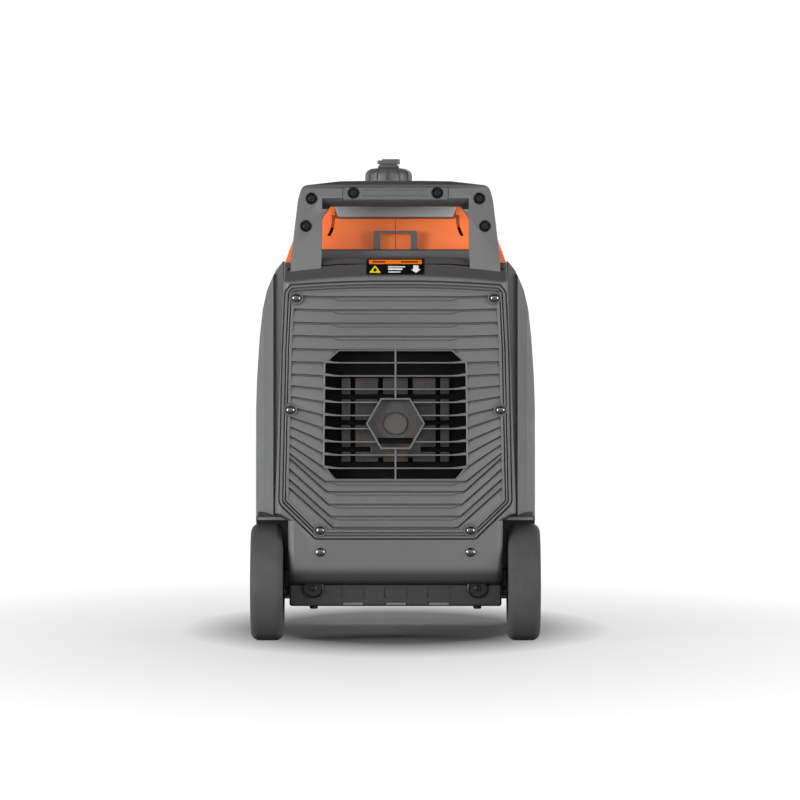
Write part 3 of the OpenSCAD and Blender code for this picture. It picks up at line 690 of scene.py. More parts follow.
def inset(outline, distance):
    """The outline moved inward by a distance, mitred at its corners."""
    count = len(outline)
    area = sum(outline[i - 1][0] * outline[i][1] - outline[i][0] * outline[i - 1][1] for i in range(count))
    turn = 1 if area > 0 else -1
    points = []
    for i, corner in enumerate(outline):
        last = (Vector(corner) - Vector(outline[i - 1])).normalized()
        after = (Vector(outline[(i + 1) % count]) - Vector(corner)).normalized()
        normal = Vector((-last.y - after.y, last.x + after.x)) * turn
        if normal.length < 1e-6:
            normal = Vector((-last.y, last.x)) * turn
        normal.normalize()
        lean = max(0.5, normal.dot(Vector((-last.y, last.x)) * turn))
        points.append(tuple(Vector(corner) + normal * distance / lean))
    return points


def grille_outline(shrink=0.0):
    """Outline of the exhaust panel with an arched top edge, moved inward by shrink."""
    arch = [(x, 385 + 4.2 * (1 - (x / 113) ** 2)) for x in (113, 95, 75, 50, 25)]
    radii = [max(0.6, r - shrink) for r in GRILLE_RADII] + [0] * 4
    return filleted(inset(both_sides(GRILLE_HALF + arch), shrink), radii + list(reversed(radii)))


def vent_outline(grow=0.0):
    half = [(65 + grow, 176 - grow), (77 + grow, 191), (76 + grow, 300.5), (61 + grow, 314.5 + grow)]
    return filleted(both_sides(half), 3.5, 3)


def frame_cavity(y0, y1):
    half = [(112, 66), (112, 134), (126, 142), (126, 151), (117, 404), (60, 409)]
    return prism(filleted(both_sides(half), 3), "y", y0, y1)


def foot_holes(*places):
    """Pin holes for the feet of a carrying handle."""
    return [pin("z", x, y, 3, 380, 440, 20) for x in (-97, 97) for y in places]


def make_rear_frame():
    mesh = frame_solid(FRAME_DEPTH, 1)
    cavity = frame_cavity(FACE + 10.5, FACE + FRAME_DEPTH + 5)
    opening = block(-98, 98, FACE - 2, FACE + 12, 150, 345)
    seat = prism(grille_outline(-PANEL_GAP), "y", FACE - 5, FACE + 7.4)
    slot = pin("x", AXLE_Y, AXLE_Z, 6.5, -140, 140)
    mesh = cut(mesh, cavity, opening, seat, slot, *foot_holes(FACE + 18, FACE + 36))
    inner = FACE + FRAME_DEPTH
    collar = rounded(block(-106, 106, inner - 1, inner + 16.2, 414, 426), 2.2)
    piece("rear_frame_shell", merged(mesh, collar), replaced="rear_frame")


def make_front_frame():
    mesh = frame_solid(FRAME_DEPTH, -1)
    cavity = frame_cavity(END - FRAME_DEPTH - 5, END - 18)
    recess = prism(filleted(both_sides([(90, 120), (90, 380)]), 5), "y", END - 12, END + 4)
    opening = prism(filleted(both_sides([(84, 126), (84, 374)]), 3), "y", END - 30, END + 4)
    mesh = cut(mesh, cavity, recess, opening, *foot_holes(END - 18, END - 36))
    inner = END - FRAME_DEPTH
    collar = rounded(block(-106, 106, inner - 16.2, inner + 1, 414, 426), 2.2)
    piece("front_frame_shell", merged(mesh, collar), replaced="front_frame")


# ---------------------------------------------------------------- exhaust grille
PANEL = FACE - 1.5                         # the front of the grille panel
BACK = FACE + 7.0
TURN = 76.0                                # where the steps leave the opening
LIP = 62.0                                 # a second small step shows between these


def side_slope(z):
    fall = max(0.0, TOP_SLAT - z) / (TOP_SLAT - 163.5)
    return 0.03 + 0.87 * min(1.0, fall) ** 1.6


def step_row(z, turn, drop, raise_by=0.0):
    """Points across one edge of a step: level in the middle, fanned upwards at the sides."""
    rise = side_slope(z) * (128 - turn)
    shape = [(-128, rise, 0), (-turn, 0, 0), (-LIP - 6, 0, 0), (-LIP, 0, 1), (LIP, 0, 1), (LIP + 6, 0, 0),
             (turn, 0, 0)]
    shape.append((128, rise, 0))
    return [(x, z + up - raise_by * lens, drop) for x, up, lens in shape]


def step_lines():
    lines = [(TOP_SLAT + k * GRILLE_PITCH, TURN) for k in range(STEP_LINES, -SLATS - 1, -1)]
    return lines + [(163.2, TURN - 2), (149.6, TURN - 4), (136.6, TURN - 6), (124.6, TURN - 9)]


def stepped_field():
    """Overlapping boards: each leans out to its lower edge and steps back in under it."""
    proud, under, sill = 0.0, 3.4, 1.5
    rows = [step_row(400, TURN, 1.6)]
    for z, turn in step_lines():
        rows.append(step_row(z, turn, proud))
        rows.append(step_row(z - 0.2, turn, under))
        rows.append(step_row(z - 1.2, turn, under, 0.9))
        rows.append(step_row(z - 1.4, turn, sill, 0.9))
        rows.append(step_row(z - 1.9, turn, sill, 2.1))
        rows.append(step_row(z - 2.1, turn, under - 0.8, 2.1))
        rows.append(step_row(z - 2.5, turn, under - 0.8, 2.8))
        rows.append(step_row(z - 2.7, turn, sill + 0.3, 2.8))
    rows.append(step_row(104, TURN - 10, proud))
    bm = bmesh.new()
    front = [[bm.verts.new(Vector((x, PANEL + 0.9 + drop, z)) * MM) for x, z, drop in row] for row in rows]
    back = [[bm.verts.new(Vector((x, BACK, z)) * MM) for x, z, drop in row] for row in rows]
    for sheet, flip in ((front, False), (back, True)):
        for upper, lower in zip(sheet, sheet[1:]):
            for i in range(len(upper) - 1):
                corners = (upper[i], upper[i + 1], lower[i + 1], lower[i])
                bm.faces.new(corners if not flip else tuple(reversed(corners)))
    rim = front[0] + [row[-1] for row in front[1:]] + list(reversed(front[-1]))[1:]
    rim += [row[0] for row in reversed(front[1:-1])]
    rim_back = back[0] + [row[-1] for row in back[1:]] + list(reversed(back[-1]))[1:]
    rim_back += [row[0] for row in reversed(back[1:-1])]
    for i in range(len(rim)):
        j = (i + 1) % len(rim)
        bm.faces.new((rim[i], rim_back[i], rim_back[j], rim[j]))
    return bm_mesh(bm)


def border_ring():
    """Three concentric lips round the field."""
    profile = [(0, BACK - PANEL), (0, 0.7), (0.5, 0.1), (1.0, 0), (2.0, 0), (2.4, 0.3), (2.8, 2.8),
               (3.6, 2.8), (4.0, 0.6), (4.6, 0.3), (5.3, 0.4), (5.6, 3.0), (6.4, 3.0), (6.8, 0.8),
               (7.4, 0.5), (8.6, 0.6), (9.2, 1.0), (10.6, 4.2)]
    rings = [[Vector((x, PANEL + y, z)) * MM for x, z in grille_outline(reach)] for reach, y in profile]
    rings.append([Vector((x, BACK, z)) * MM for x, z in grille_outline(profile[-1][0])])
    return loft(rings, closed=True)


def slat(z):
    """One thin bar whose ends sweep up a little into the panel."""
    top = [(-78, 2.4), (-72, 1.6), (-66, 0.5), (-60, 0), (60, 0), (66, 0.5), (72, 1.6), (78, 2.4)]
    thick = [1.5 + 0.12 * max(0, abs(x) - 62) for x, up in top]
    outline = [(x, z + up) for x, up in top] + [(x, z + up - t) for (x, up),
                                                t in reversed(list(zip(top, thick)))]
    return rounded(prism(outline, "y", FACE - 0.9, FACE + 5.5), 0.35, 2)


def hexagon(radius):
    return arc_points((0, OUTLET_Z), radius, 0, 300, 5)


GRILLE_SCREWS = [(x * s, z) for x, z in ((107, 371.5), (113.5, 250.6), (81.3, 120.5)) for s in SIDES]


def screw_seats():
    return [pin("y", x, z, 7.4, PANEL - 5, PANEL + 4.5, 28) for x, z in GRILLE_SCREWS]


def outline_rings(outlines, places):
    """World rings from outlines in x and z, each at its place along Y."""
    return [[Vector((x, y, z)) * MM for x, z in outline] for outline, y in zip(outlines, places)]


def make_grille():
    field = joined(stepped_field(), prism(grille_outline(9.2), "y", PANEL - 5, BACK + 5), "INTERSECT")
    vent = prism(vent_outline(), "y", PANEL - 9, BACK + 9)
    field = cut(field, vent, *screw_seats())
    ring = cut(border_ring(), *screw_seats())
    boss = [(BACK - 0.5, 2.1), (BACK - 0.5, 7.35), (PANEL + 0.9, 7.35), (PANEL + 0.2, 6.9),
            (PANEL + 0.2, 6.2), (PANEL + 1.0, 5.7), (PANEL + 1.1, 2.1)]
    parts = [turned(boss, "y", x, z, 36) for x, z in GRILLE_SCREWS]
    bars = [slat(TOP_SLAT - k * GRILLE_PITCH) for k in range(SLATS)]
    rib = rounded(block(-0.95, 0.95, FACE - 0.9, FACE + 5.5, 174, 317), 0.35, 2)
    hole = prism(hexagon(30.7), "y", PANEL - 5, BACK + 5)
    bars = [cut(bar, hole.copy()) for bar in bars]
    rib = cut(rib, hole)
    hexa = rounded(cut(prism(hexagon(31.9), "y", FACE - 2.4, FACE + 6),
                       prism(hexagon(29.7), "y", FACE - 5, FACE + 9)), 0.35, 2)
    lip_edge = [(0.2, BACK), (0.2, PANEL + 1.6), (-0.7, PANEL + 1.0), (-1.7, PANEL + 1.6), (-1.7, BACK)]
    outlines = [inset(vent_outline(), grow) for grow, y in lip_edge]
    lip = loft(outline_rings(outlines, [y for grow, y in lip_edge]), closed=True)
    piece("grille_panel", merged(field, ring, lip, *parts, *bars, rib, hexa), replaced="exhaust_grille",
          material=GRILLE_GREY, smooth_angle=24)


def pan_screw(x, z, head_y, sign, radius, length, dome=1.9):
    """Pan head screw along Y with a cross recess; sign is 1 where the head faces -Y."""
    profile = [(length, 0.9), (length - 1.5, 2.0), (0.1, 2.0), (0.0, radius * 0.98)]
    for i in range(6):
        angle = math.pi / 2 * i / 5
        profile.append((-0.7 - dome * math.sin(angle) * 0.75, radius * max(0.02, math.cos(angle) ** 0.6)))
    rings = [(head_y + sign * along, r) for along, r in profile]
    rings.append((rings[-1][0], POLE))
    rings.append((head_y + sign * length, POLE))
    head = turned(rings, "y", x, z, 32)
    tip = head_y - sign * (dome + 2)
    floor = head_y - sign * 0.6
    cross = [block(x - w, x + w, min(tip, floor), max(tip, floor), z - h, z + h)
             for w, h in ((radius * 0.52, 0.42), (0.42, radius * 0.52))]
    return cut(head, *cross)


def make_gap_shade_seal():
    """Dark seal at the bottom of the gap round the exhaust panel, a guess, its black also painted shade in
    the gap; pairs of (shrink, place).
    """
    profile = [(-1.6, 1.3), (0.1, 1.3), (0.1, 3.0), (-1.6, 3.0)]
    outlines = [grille_outline(shrink) for shrink, y in profile]
    rings = outline_rings(outlines, [FACE + y for shrink, y in profile])
    piece("grille_gap_shade_seal", loft(rings, closed=True), "rubber", body="root")


def make_screws():
    heads = [pan_screw(x, z, PANEL + 1.0, 1, 4.5, 9, 2.4) for x, z in GRILLE_SCREWS]
    piece("grille_pan_screws", merged(*heads), replaced="grille_screws", material=SCREW_STEEL)
    bolt_x, bolt_z = high("frame_screws").x - 5, middle("frame_screws").z
    heads = [pan_screw(s * bolt_x, bolt_z, y, sign, 4.9, 11, 2.2) for s in SIDES for y,
             sign in ((FACE, 1), (END, -1))]
    piece("frame_pan_screws", merged(*heads), replaced="frame_screws", material=SCREW_STEEL)


# ---------------------------------------------------------------- carrying handles
HANDLE_Y = -276.0                          # outer face of the rear handle
HANDLE_D = 36.0
WELL_RADIUS = 6.6                          # recess round a handle screw
HANDLE_TOP = high("handle_rear_outer").z
SPLIT = HANDLE_Y + HANDLE_D / 2
GRIP_Z = 471.5
HANDLE_SCREWS = [(90.8, 479.4), (96.8, 449.6), (45.4, 485.6)]


def handle_solid():
    half = [(113.5, 400), (113, 415), (105.5, 478), (101, 493.5), (60, HANDLE_TOP - 0.6), (25, HANDLE_TOP)]
    inner = [(80.5, 400), (79.5, 460), (70, GRIP_Z)]
    outline = filleted(half, [0, 6, 20, 9, 10, 0])
    outline += [(-x, z) for x, z in reversed(outline)]
    hollow = filleted(inner, [0, 9, 0])
    start = next(i for i, p in enumerate(hollow) if p[1] > 401)
    arch = [(80.5, 400)] + hollow[start:]
    outline = outline + [(-x, z) for x, z in arch] + list(reversed(arch))
    loop = prism(clean(outline), "y", HANDLE_Y, HANDLE_Y + HANDLE_D)
    half_d = HANDLE_D / 2
    side = [(half_d, 395), (half_d, HANDLE_TOP - 9), (half_d - 2, HANDLE_TOP - 4.5),
            (half_d - 7, HANDLE_TOP - 0.6)]
    side += [(7, HANDLE_TOP + 1)]
    section = prism([(SPLIT + y, z) for y, z in both_sides(side)], "x", -130, 130)
    loop = joined(loop, section, "INTERSECT")
    under = [(half_d + 2, 468), (half_d + 2, 482), (half_d, 480), (half_d - 1.6, 477),
             (half_d - 4, 474.6), (8, 471.4)]
    under += [(4, 468)]
    for sign in SIDES:
        groove = prism([(SPLIT + sign * y, z) for y, z in under], "x", -79.4, 79.4)
        loop = cut(loop, groove)
    return rounded(loop, 2.2, 3, 25)


def make_handles():
    loop = handle_solid()
    far, near = block(-140, 140, SPLIT - 0.2, 0, 380, 520), block(-140, 140, -320, SPLIT + 0.2, 380, 520)
    outer = joined(loop.copy(), far)
    inner = joined(loop, near)
    seat = rounded(prism(filleted(both_sides([(57.4, 477.6), (57.4, 491.9)]), 2.5), "y", HANDLE_Y - 4,
                         HANDLE_Y + 2.5), 0.3, 2)
    outer = cut(outer, seat)
    for x, z in HANDLE_SCREWS:
        for sign in SIDES:
            outer = cut(outer, pin("y", sign * x, z, WELL_RADIUS, HANDLE_Y - 4, HANDLE_Y + 6, 32))
    for name, mesh, mirror in (("rear_outer", outer, False), ("rear_inner", inner, False),
                               ("front_outer", outer, True), ("front_inner", inner, True)):
        copy = moved(mesh.copy(), MIRROR_Y) if mirror else mesh.copy()
        piece("handle_" + name + "_shell", copy, replaced="handle_" + name)
    pad = prism(filleted(both_sides([(56.9, 478.1), (56.9, 491.4)]), 2.2), "y", HANDLE_Y - 0.5,
                HANDLE_Y + 2.4)
    pad = rounded(pad, 0.5, 2)
    for sign in SIDES:
        pad = cut(pad, pin("y", sign * HANDLE_SCREWS[2][0], HANDLE_SCREWS[2][1], 6.7, HANDLE_Y - 4,
                           HANDLE_Y + 6, 32))
    dots = [turned([(HANDLE_Y, POLE), (HANDLE_Y, 0.85), (HANDLE_Y - 0.7, 0.8), (HANDLE_Y - 1.1, 0.45),
                    (HANDLE_Y - 1.2, POLE)], "y", 3.4 * i, z, 10) for i in range(-10, 11)
            for z in (482.4, 488.8)]
    pads = merged(pad, *dots)
    piece("grip_pads", with_mirror(pads, MIRROR_Y), replaced="handle_grips", material=PAD_GREY,
          smooth_angle=40)
    screws = [pan_screw(s * x, z, HANDLE_Y + 5.2, 1, 4.9, 12) for x, z in HANDLE_SCREWS for s in SIDES]
    screws = with_mirror(merged(*screws), MIRROR_Y)
    piece("handle_pan_screws", screws, replaced="handle_screws", material=MATERIALS["dark_steel"])


# ---------------------------------------------------------------- top covers and deck
COVER_Y = 205.0
DECK_W = 66.0


def make_top():
    half = [(121, 404), (121, 412), (115.5, 428), (103, 458), (96, 472), (84, 475)]
    outline = filleted(both_sides(half), [0, 4, 12, 14, 10, 6, 6, 10, 14, 12, 4, 0])
    body = prism(outline, "y", -COVER_Y, COVER_Y)
    side = both_sides([(COVER_Y, 404), (COVER_Y, 424), (COVER_Y - 9, 476.5)])
    body = joined(body, prism(filleted(side, [0, 6, 10, 10, 6, 0]), "x", -130, 130), "INTERSECT")
    body = rounded(body, 3.0, 4, 32)
    inner = both_sides([(118, 400), (118, 410), (112, 428), (100, 456), (93, 468)])
    body = cut(body, joined(prism(inner, "y", -COVER_Y + 3, COVER_Y - 3),
                            block(-130, 130, -197, 197, 395, 480), "INTERSECT"))
    body = cut(body, prism(both_sides([(DECK_W + 0.6, 460.2), (DECK_W + 0.6, 480)]), "y", -240, 240))
    curve = [(DECK_W + 0.4, 464), (DECK_W + 0.2, 457), (DECK_W + 1.4, 450), (DECK_W + 3.4, 444.5),
             (DECK_W + 5.4, 441)]
    strip = curve + [(x + 3.6, z + 0.3) for x, z in reversed(curve)]
    for sx in SIDES:
        for y0, y1 in ((-COVER_Y - 4, -COVER_Y + 14), (COVER_Y - 14, COVER_Y + 4)):
            body = cut(body, prism([(sx * x, z) for x, z in strip], "y", y0, y1))
    left = joined(body.copy(), block(-0.25, 150, -260, 260, 380, 500))
    right = joined(body, block(-150, 0.25, -260, 260, 380, 500))
    names = ("top_cover_left", "top_cover_right")
    if middle("top_cover_left").x > 0:
        left, right = right, left
    for name, mesh in zip(names, (left, right)):
        piece(name + "_shell", mesh, replaced=name)


def make_deck():
    half = [(DECK_W - 3.5, 461), (DECK_W, 471), (DECK_W, 473), (DECK_W - 4, 476.5)]
    mesh = prism(filleted(both_sides(half), [2, 3, 3, 3, 3, 3, 3, 2]), "y", -203, 203)
    mesh = rounded(mesh, 1.6, 3, 40)
    cap_x = middle("fuel_cap").x
    mesh = cut(mesh, prism(both_sides([(59, 452), (63, 466), (63, 473.4)]), "y", -200, 200),
               pin("z", cap_x, 0, 24, 400, 500, 64))
    # shallow tread grooves along the top, clear of the filler
    for x in range(-54, 55, 12):
        if abs(x - cap_x) > 34:
            mesh = cut(mesh, prism(filleted(oblong(x - 1.6, x + 1.6, 475.7, 480), 0.4, 2), "y", -170, 170))
    well = turned([(476.3, 27.5), (477.6, 28.2), (478.2, 29.2), (478.0, 30.4), (476.3, 31.2)], "z", cap_x,
                  0, 64)
    piece("deck_shell", merged(mesh, well), replaced="top_deck", material=MATERIAL_DECK)
    hoop = filleted([(-24, 426), (-24, 446.6), (24, 446.6), (24, 426)], [0, 3.2, 3.2, 0], 4)
    inner = filleted([(16.5, 426), (16.5, 443.6), (-16.5, 443.6), (-16.5, 426)], [0, 1.6, 1.6, 0], 3)
    keeper = rounded(prism(clean(hoop + inner), "y", -COVER_Y - 9, -COVER_Y - 5), 0.7, 2)
    piece("keeper_hoop", keeper, replaced="cover_keeper", material=MATERIALS["body_plastic"])


def make_label():
    """Generic warning graphic: header strip, triangle, blank bars and an arrow, with no lettering."""
    tilt, middle_z, surface = math.radians(-36.47), middle("warning_plate").z - 1.2, FACE + 8.5
    turn = Matrix.Translation(Vector((0, surface, middle_z)) * MM) @ Matrix.Rotation(tilt, 4, "X")

    def layer(name, shapes, back, front, material):
        parts = [rounded(prism(shape, "y", front, back), 0.06, 1) for shape in shapes]
        return piece(name, moved(merged(*parts), turn), "label", material=material,
                     replaced="warning_plate" if name == "label_film" else ())

    ink, mark = (-0.5, -0.72), (-0.6, -0.8)
    layer("label_film", [filleted(oblong(-31.3, 31.3, -11, 11), 1.6)], -0.05, -0.62, INKS["black"])
    layer("label_header", [filleted(oblong(-28.6, 28.6, 3.4, 9.2), 0.5)], *ink, INKS["orange"])
    header_bars = [oblong(x, x + w, 5.4, 7.2) for x, w in ((-25, 14), (6, 18.5))]
    layer("label_header_bars", header_bars, *mark, INKS["black"])
    layer("label_triangle", [filleted([(-28.6, -8.6), (-15.6, -8.6), (-22.1, 1.8)], 1.0)], *ink,
          INKS["yellow"])
    flame = filleted([(-23.4, -6.9), (-20.6, -6.9), (-20.1, -4.6), (-22.0, -1.4), (-24.2, -4.8)], 0.6)
    layer("label_triangle_mark", [flame], *mark, INKS["black"])
    lines = [oblong(-8, 10.5, -1.2, 0.4), oblong(-8, 7.5, -4.8, -2.4), oblong(-8, 5.5, -8.2, -6.8)]
    layer("label_bars", [filleted(line, 0.4, 2) for line in lines], *ink, INKS["white"])
    arrow = [(19.3, 1.6), (24.9, 1.6), (24.9, -3.6), (27.6, -3.6), (22.1, -8.8), (16.6, -3.6), (19.3, -3.6)]
    layer("label_arrow", [filleted(arrow, 0.4, 2)], *ink, INKS["white"])


# ---------------------------------------------------------------- base, axle and wheels
TRAY_SLOTS = (-46, 0.5, 47)


def make_base():
    tray = rounded(block(-115, 115, -262, 262, 38, 61.8), 2.4, 3)
    for x in (-115, 115):
        lug = rounded(block(min(x, x * 1.3), max(x, x * 1.3), 190, 240, 30, 56), 2.4, 3)
        tray = joined(tray, lug, "UNION")
    tray = cut(tray, block(-112, 112, -259, 259, 41, 80))
    for x in TRAY_SLOTS:
        tray = cut(tray, block(x - 11.5, x + 11.5, -266, -254, 38.9, 42.4),
                   block(x - 13, x + 13, -266, -260.9, 46.5, 58))
    for y in range(-150, 151, 50):
        tray = cut(tray, rounded(block(-70, 70, y - 10, y + 10, 30, 50), 3, 3, 40))
    tray = cut(tray, pin("x", AXLE_Y, AXLE_Z, 6.5, -130, 130))
    piece("tray_shell", tray, replaced="base_tray")
    tongues = [rounded(block(x - 11, x + 11, -261.3, -257.5, 39.1, 42.0), 0.4, 2) for x in TRAY_SLOTS]
    piece("tray_slot_tongues", merged(*tongues), "body_plastic")
    cups, bolts = [], []
    for x in (-89, 89):
        cups.append(turned([(FACE + 24, POLE), (FACE + 24, 10.5), (FACE + 21.4, 11), (FACE + 21, 10),
                            (FACE + 22.6, 8.8), (FACE + 22.8, POLE)], "y", x, 57.5, 32))
        bolts.append(pan_screw(x, 57.5, FACE + 22.8, 1, 3.6, 4))
        bolts.append(spun(0, [(34.4, 3.2), (35.2, 4.4), (38.2, 4.6), (38.2, 7), (39.2, 7)], "z", x, -240, 24))
    piece("tray_bolt_cups", merged(*cups), "black_plastic")
    piece("tray_bolts", merged(*bolts), "dark_steel")


def make_axle():
    plates = []
    for sign in SIDES:
        outline = [(AXLE_Y - 17, 79), (AXLE_Y - 17, 60), (AXLE_Y - 9, 48.2), (AXLE_Y + 9, 48.2),
                   (AXLE_Y + 17, 60), (AXLE_Y + 17, 79)]
        plate = prism(filleted(outline, [2, 4, 5, 5, 4, 2]), "x", 116, 120.4)
        plate = cut(rounded(plate, 0.8, 2, 40), pin("x", AXLE_Y, AXLE_Z, 6.05, 100, 130))
        ribs = [rounded(prism(filleted(oblong(y - 1.5, y + 1.5, 50, 77), 0.6, 2), "x", 117, 121.8), 0.4, 2)
                for y in (AXLE_Y - 12.5, AXLE_Y + 12.5)]
        sleeve = turned([(116.5, 6.05), (116.5, 9.6), (119, 9.6), (120, 8.8), (122.0, 8.6), (122.4, 8.0),
                         (122.4, 6.05)], "x", AXLE_Y, AXLE_Z, 40)
        side = merged(plate, sleeve, *ribs)
        plates.append(side if sign == 1 else moved(side, MIRROR_X))
    piece("axle_bracket_plates", merged(*plates), replaced="axle_brackets")
    reach = high("axle").x
    rod = spun(0, [(-reach, 5.2), (-reach + 0.8, 6), (reach - 0.8, 6), (reach, 5.2)], "x", AXLE_Y, AXLE_Z, 40)
    piece("axle_rod", rod, replaced="axle")
    out = high("axle_caps").x
    dome = [(out - 3, 6.05), (out - 3, 10), (out - 1.7, 10), (out - 0.7, 8.8), (out - 0.1, 5.5),
            (out, POLE), (out - 1.3, POLE), (out - 1.4, 6.05)]
    cap = turned(dome, "x", AXLE_Y, AXLE_Z, 40)
    piece("axle_dome_caps", with_mirror(cap, MIRROR_X), replaced="axle_caps")


def make_wheels():
    outer, inner = high("tyre_right").x, low("tyre_right").x
    radius, width, shoulder = (high("tyre_right").z - low("tyre_right").z) / 2, outer - inner, 9.0
    rim = 43.0
    profile = [(inner + 4, rim), (inner + 1.2, 47.5), (inner + 0.3, 50)]
    profile += [(inner + 0.9, 51), (inner + 0.3, 52)]
    profile += [(x, r) for x, r in arc_points((inner + shoulder, radius - shoulder), shoulder, 180, 96, 8)]
    profile += [(inner + shoulder + (width - 2 * shoulder) * t,
                 radius - 0.25 + 0.25 * math.sin(math.pi * t)) for t in (0.1, 0.3, 0.5, 0.7, 0.9)]
    profile += [(x, r) for x, r in arc_points((outer - shoulder, radius - shoulder), shoulder, 84, 0, 8)]
    profile += [(outer - 0.3, 52), (outer - 0.9, 51), (outer - 0.3, 50), (outer - 1.2, 47.5),
                (outer - 4, rim)]
    tyre = turned(profile, "x", AXLE_Y, AXLE_Z, 120)
    rim_profile = [(inner + 4.4, rim - 0.1), (inner + 2.6, rim - 0.4), (inner + 2.6, rim - 3.4),
                   (inner + 5, rim - 4.6), (outer - 12, rim - 5.4), (outer - 5, rim - 4.6),
                   (outer - 2.4, rim - 3.4), (outer - 2.4, rim - 0.4), (outer - 4.4, rim - 0.1)]
    ring = turned(rim_profile, "x", AXLE_Y, AXLE_Z, 96)
    disc = turned([(inner + 12, 8), (inner + 12, rim - 2), (outer - 14, rim - 2), (outer - 12.5, 30),
                   (outer - 11.5, 8)], "x", AXLE_Y, AXLE_Z, 96)
    boss = turned([(inner + 0.6, 6.05), (inner + 0.6, 13.5), (inner + 2, 15), (outer - 6, 15),
                   (outer - 4.2, 13), (outer - 4.2, 6.05)], "x", AXLE_Y, AXLE_Z, 48)
    spokes = []
    for i in range(6):
        spoke = prism(filleted([(-4.2, 12), (4.2, 12), (2.9, rim - 3), (-2.9, rim - 3)], 1.0, 2), "x",
                      inner + 5, outer - 5.5)
        spoke = rounded(spoke, 1.1, 2)
        spokes.append(moved(spoke, Matrix.Translation(Vector((0, AXLE_Y,
                AXLE_Z)) * MM) @ Matrix.Rotation(math.radians(60 * i + 30), 4, "X")))
    hub = merged(ring, disc, boss, *spokes)
    piece("tyre_right_tread", tyre.copy(), replaced="tyre_right", material=TYRE, smooth_angle=50)
    piece("tyre_left_tread", moved(tyre, MIRROR_X), replaced="tyre_left", material=TYRE, smooth_angle=50)
    piece("hub_right_spokes", hub.copy(), replaced="hub_right")
    piece("hub_left_spokes", moved(hub, MIRROR_X), replaced="hub_left")


# ---------------------------------------------------------------- fuel cap
def make_fuel_cap():
    cap_x = middle("fuel_cap").x
    base, top = low("fuel_cap").z, high("fuel_cap").z + 2.5
    radius = (high("fuel_cap").x - low("fuel_cap").x) / 2

    def flute(angle, along):
        if not base + 1 < along < top - 2.6:
            return 0.0
        wave = math.cos(angle * 14)
        return 1.9 * max(0.0, min(1.0, (-wave - 0.25) * 2.4))

    profile = [(base, 22.6), (base, radius - 0.6), (base + 0.8, radius), (base + 1.2, radius),
               (base + 3, radius), (top - 9, radius), (top - 6.5, radius - 0.3),
               (top - 4.4, radius - 1.4), (top - 3.0, radius - 2.6), (top - 2.2, radius - 4.0),
               (top - 1.2, radius - 5.2), (top - 0.6, radius - 6.6), (top - 0.6, 15.5), (top, 15.0),
               (top, 4.35), (base + 30, 4.35), (base + 30, 22.6)]
    cap = turned(profile, "z", cap_x, 0, 196, flute)
    piece("fuel_cap_fluted", cap, replaced="fuel_cap", material=CAP_GREY)
    knob = spun(top, [(0.3, 11.4), (1.2, 12.2), (3.0, 11.6), (4.2, 9.6), (5.4, 9.0)], "z", cap_x, 0, 48)
    stem = spun(top, [(-4.5, 4), (1, 4)], "z", cap_x, 0, 24)
    lever = filleted([(cap_x - 12.6, -3.2), (cap_x + 9.5, -4.2), (cap_x + 12.8, -3.0),
                      (cap_x + 12.8, 3.0), (cap_x + 9.5, 4.2), (cap_x - 12.6, 3.2)], 2.2)
    lever = rounded(prism(lever, "z", top + 4.6, top + 10.4), 1.0, 3)
    notch = rounded(block(cap_x - 16, cap_x - 7.5, -10, 10, top + 9.0, top + 14), 0.5, 2)
    piece("vent_lever", merged(knob, stem, cut(lever, notch)), replaced="vent_knob", material=CAP_GREY)


# ---------------------------------------------------------------- behind the grille
def make_heat_shield():
    y0, y1 = low("heat_shield").y, high("heat_shield").y
    plate = rounded(block(-94, 94, y1 - 2, y1, 156, 340), 0.5, 2)
    hole = 26
    plate = cut(plate, pin("y", 0, OUTLET_Z, hole, y0 - 9, y1 + 9, 48))
    cells = []
    columns = [-61.0, -46, -16, 16, 46, 61.0]
    rows = [192.0, 208, 237, 265, 288.0]
    for x0, x1 in zip(columns, columns[1:]):
        for low_z, high_z in zip(rows, rows[1:]):
            if x0 + x1 == 0 and low_z < OUTLET_Z + hole and high_z > OUTLET_Z - hole:
                continue
            outline = filleted(oblong(x0 + 2.6, x1 - 2.6, low_z + 2.4, high_z - 2.4), 1.6)
            cells.append(rounded(prism(outline, "y", y0 + 1.0, y1 - 1.5), 1.2, 2))
    piece("heat_shield_plate", plate, replaced="heat_shield", material=SOOT_AND_SHADE_BLACK)
    piece("heat_shield_cells", merged(*cells), "exhaust_steel")
    mouth_y = low("exhaust_outlet").y
    plate = prism(filleted(oblong(-28.5, 28.5, 220.5, 262), 1.2), "y", mouth_y + 2.5, mouth_y + 5.3)
    plate = joined(rounded(plate, 0.4, 2), prism(hexagon(29.4), "y", mouth_y - 5, mouth_y + 9), "INTERSECT")
    plate = cut(plate, pin("y", 0, OUTLET_Z, 12.6, mouth_y - 5, mouth_y + 9, 48))
    tube = turned([(mouth_y + 6, 12.3), (mouth_y + 0.6, 12.3), (mouth_y, 11.9), (mouth_y + 0.2, 11.2),
                   (mouth_y + 0.9, 10.6), (mouth_y + 1.4, POLE), (mouth_y + 3, POLE), (mouth_y + 3, 10.4),
                   (mouth_y + 30, 10.4), (mouth_y + 30, 12.3)], "y", 0, OUTLET_Z, 56)
    piece("outlet_plate", merged(plate, tube), replaced="exhaust_outlet", material=OUTLET_GREY)
    lower = rounded(block(-27, 27, y0 + 0.5, y1 - 1, 199, 214.5), 1.0, 2)
    piece("outlet_sill", lower, "exhaust_steel")


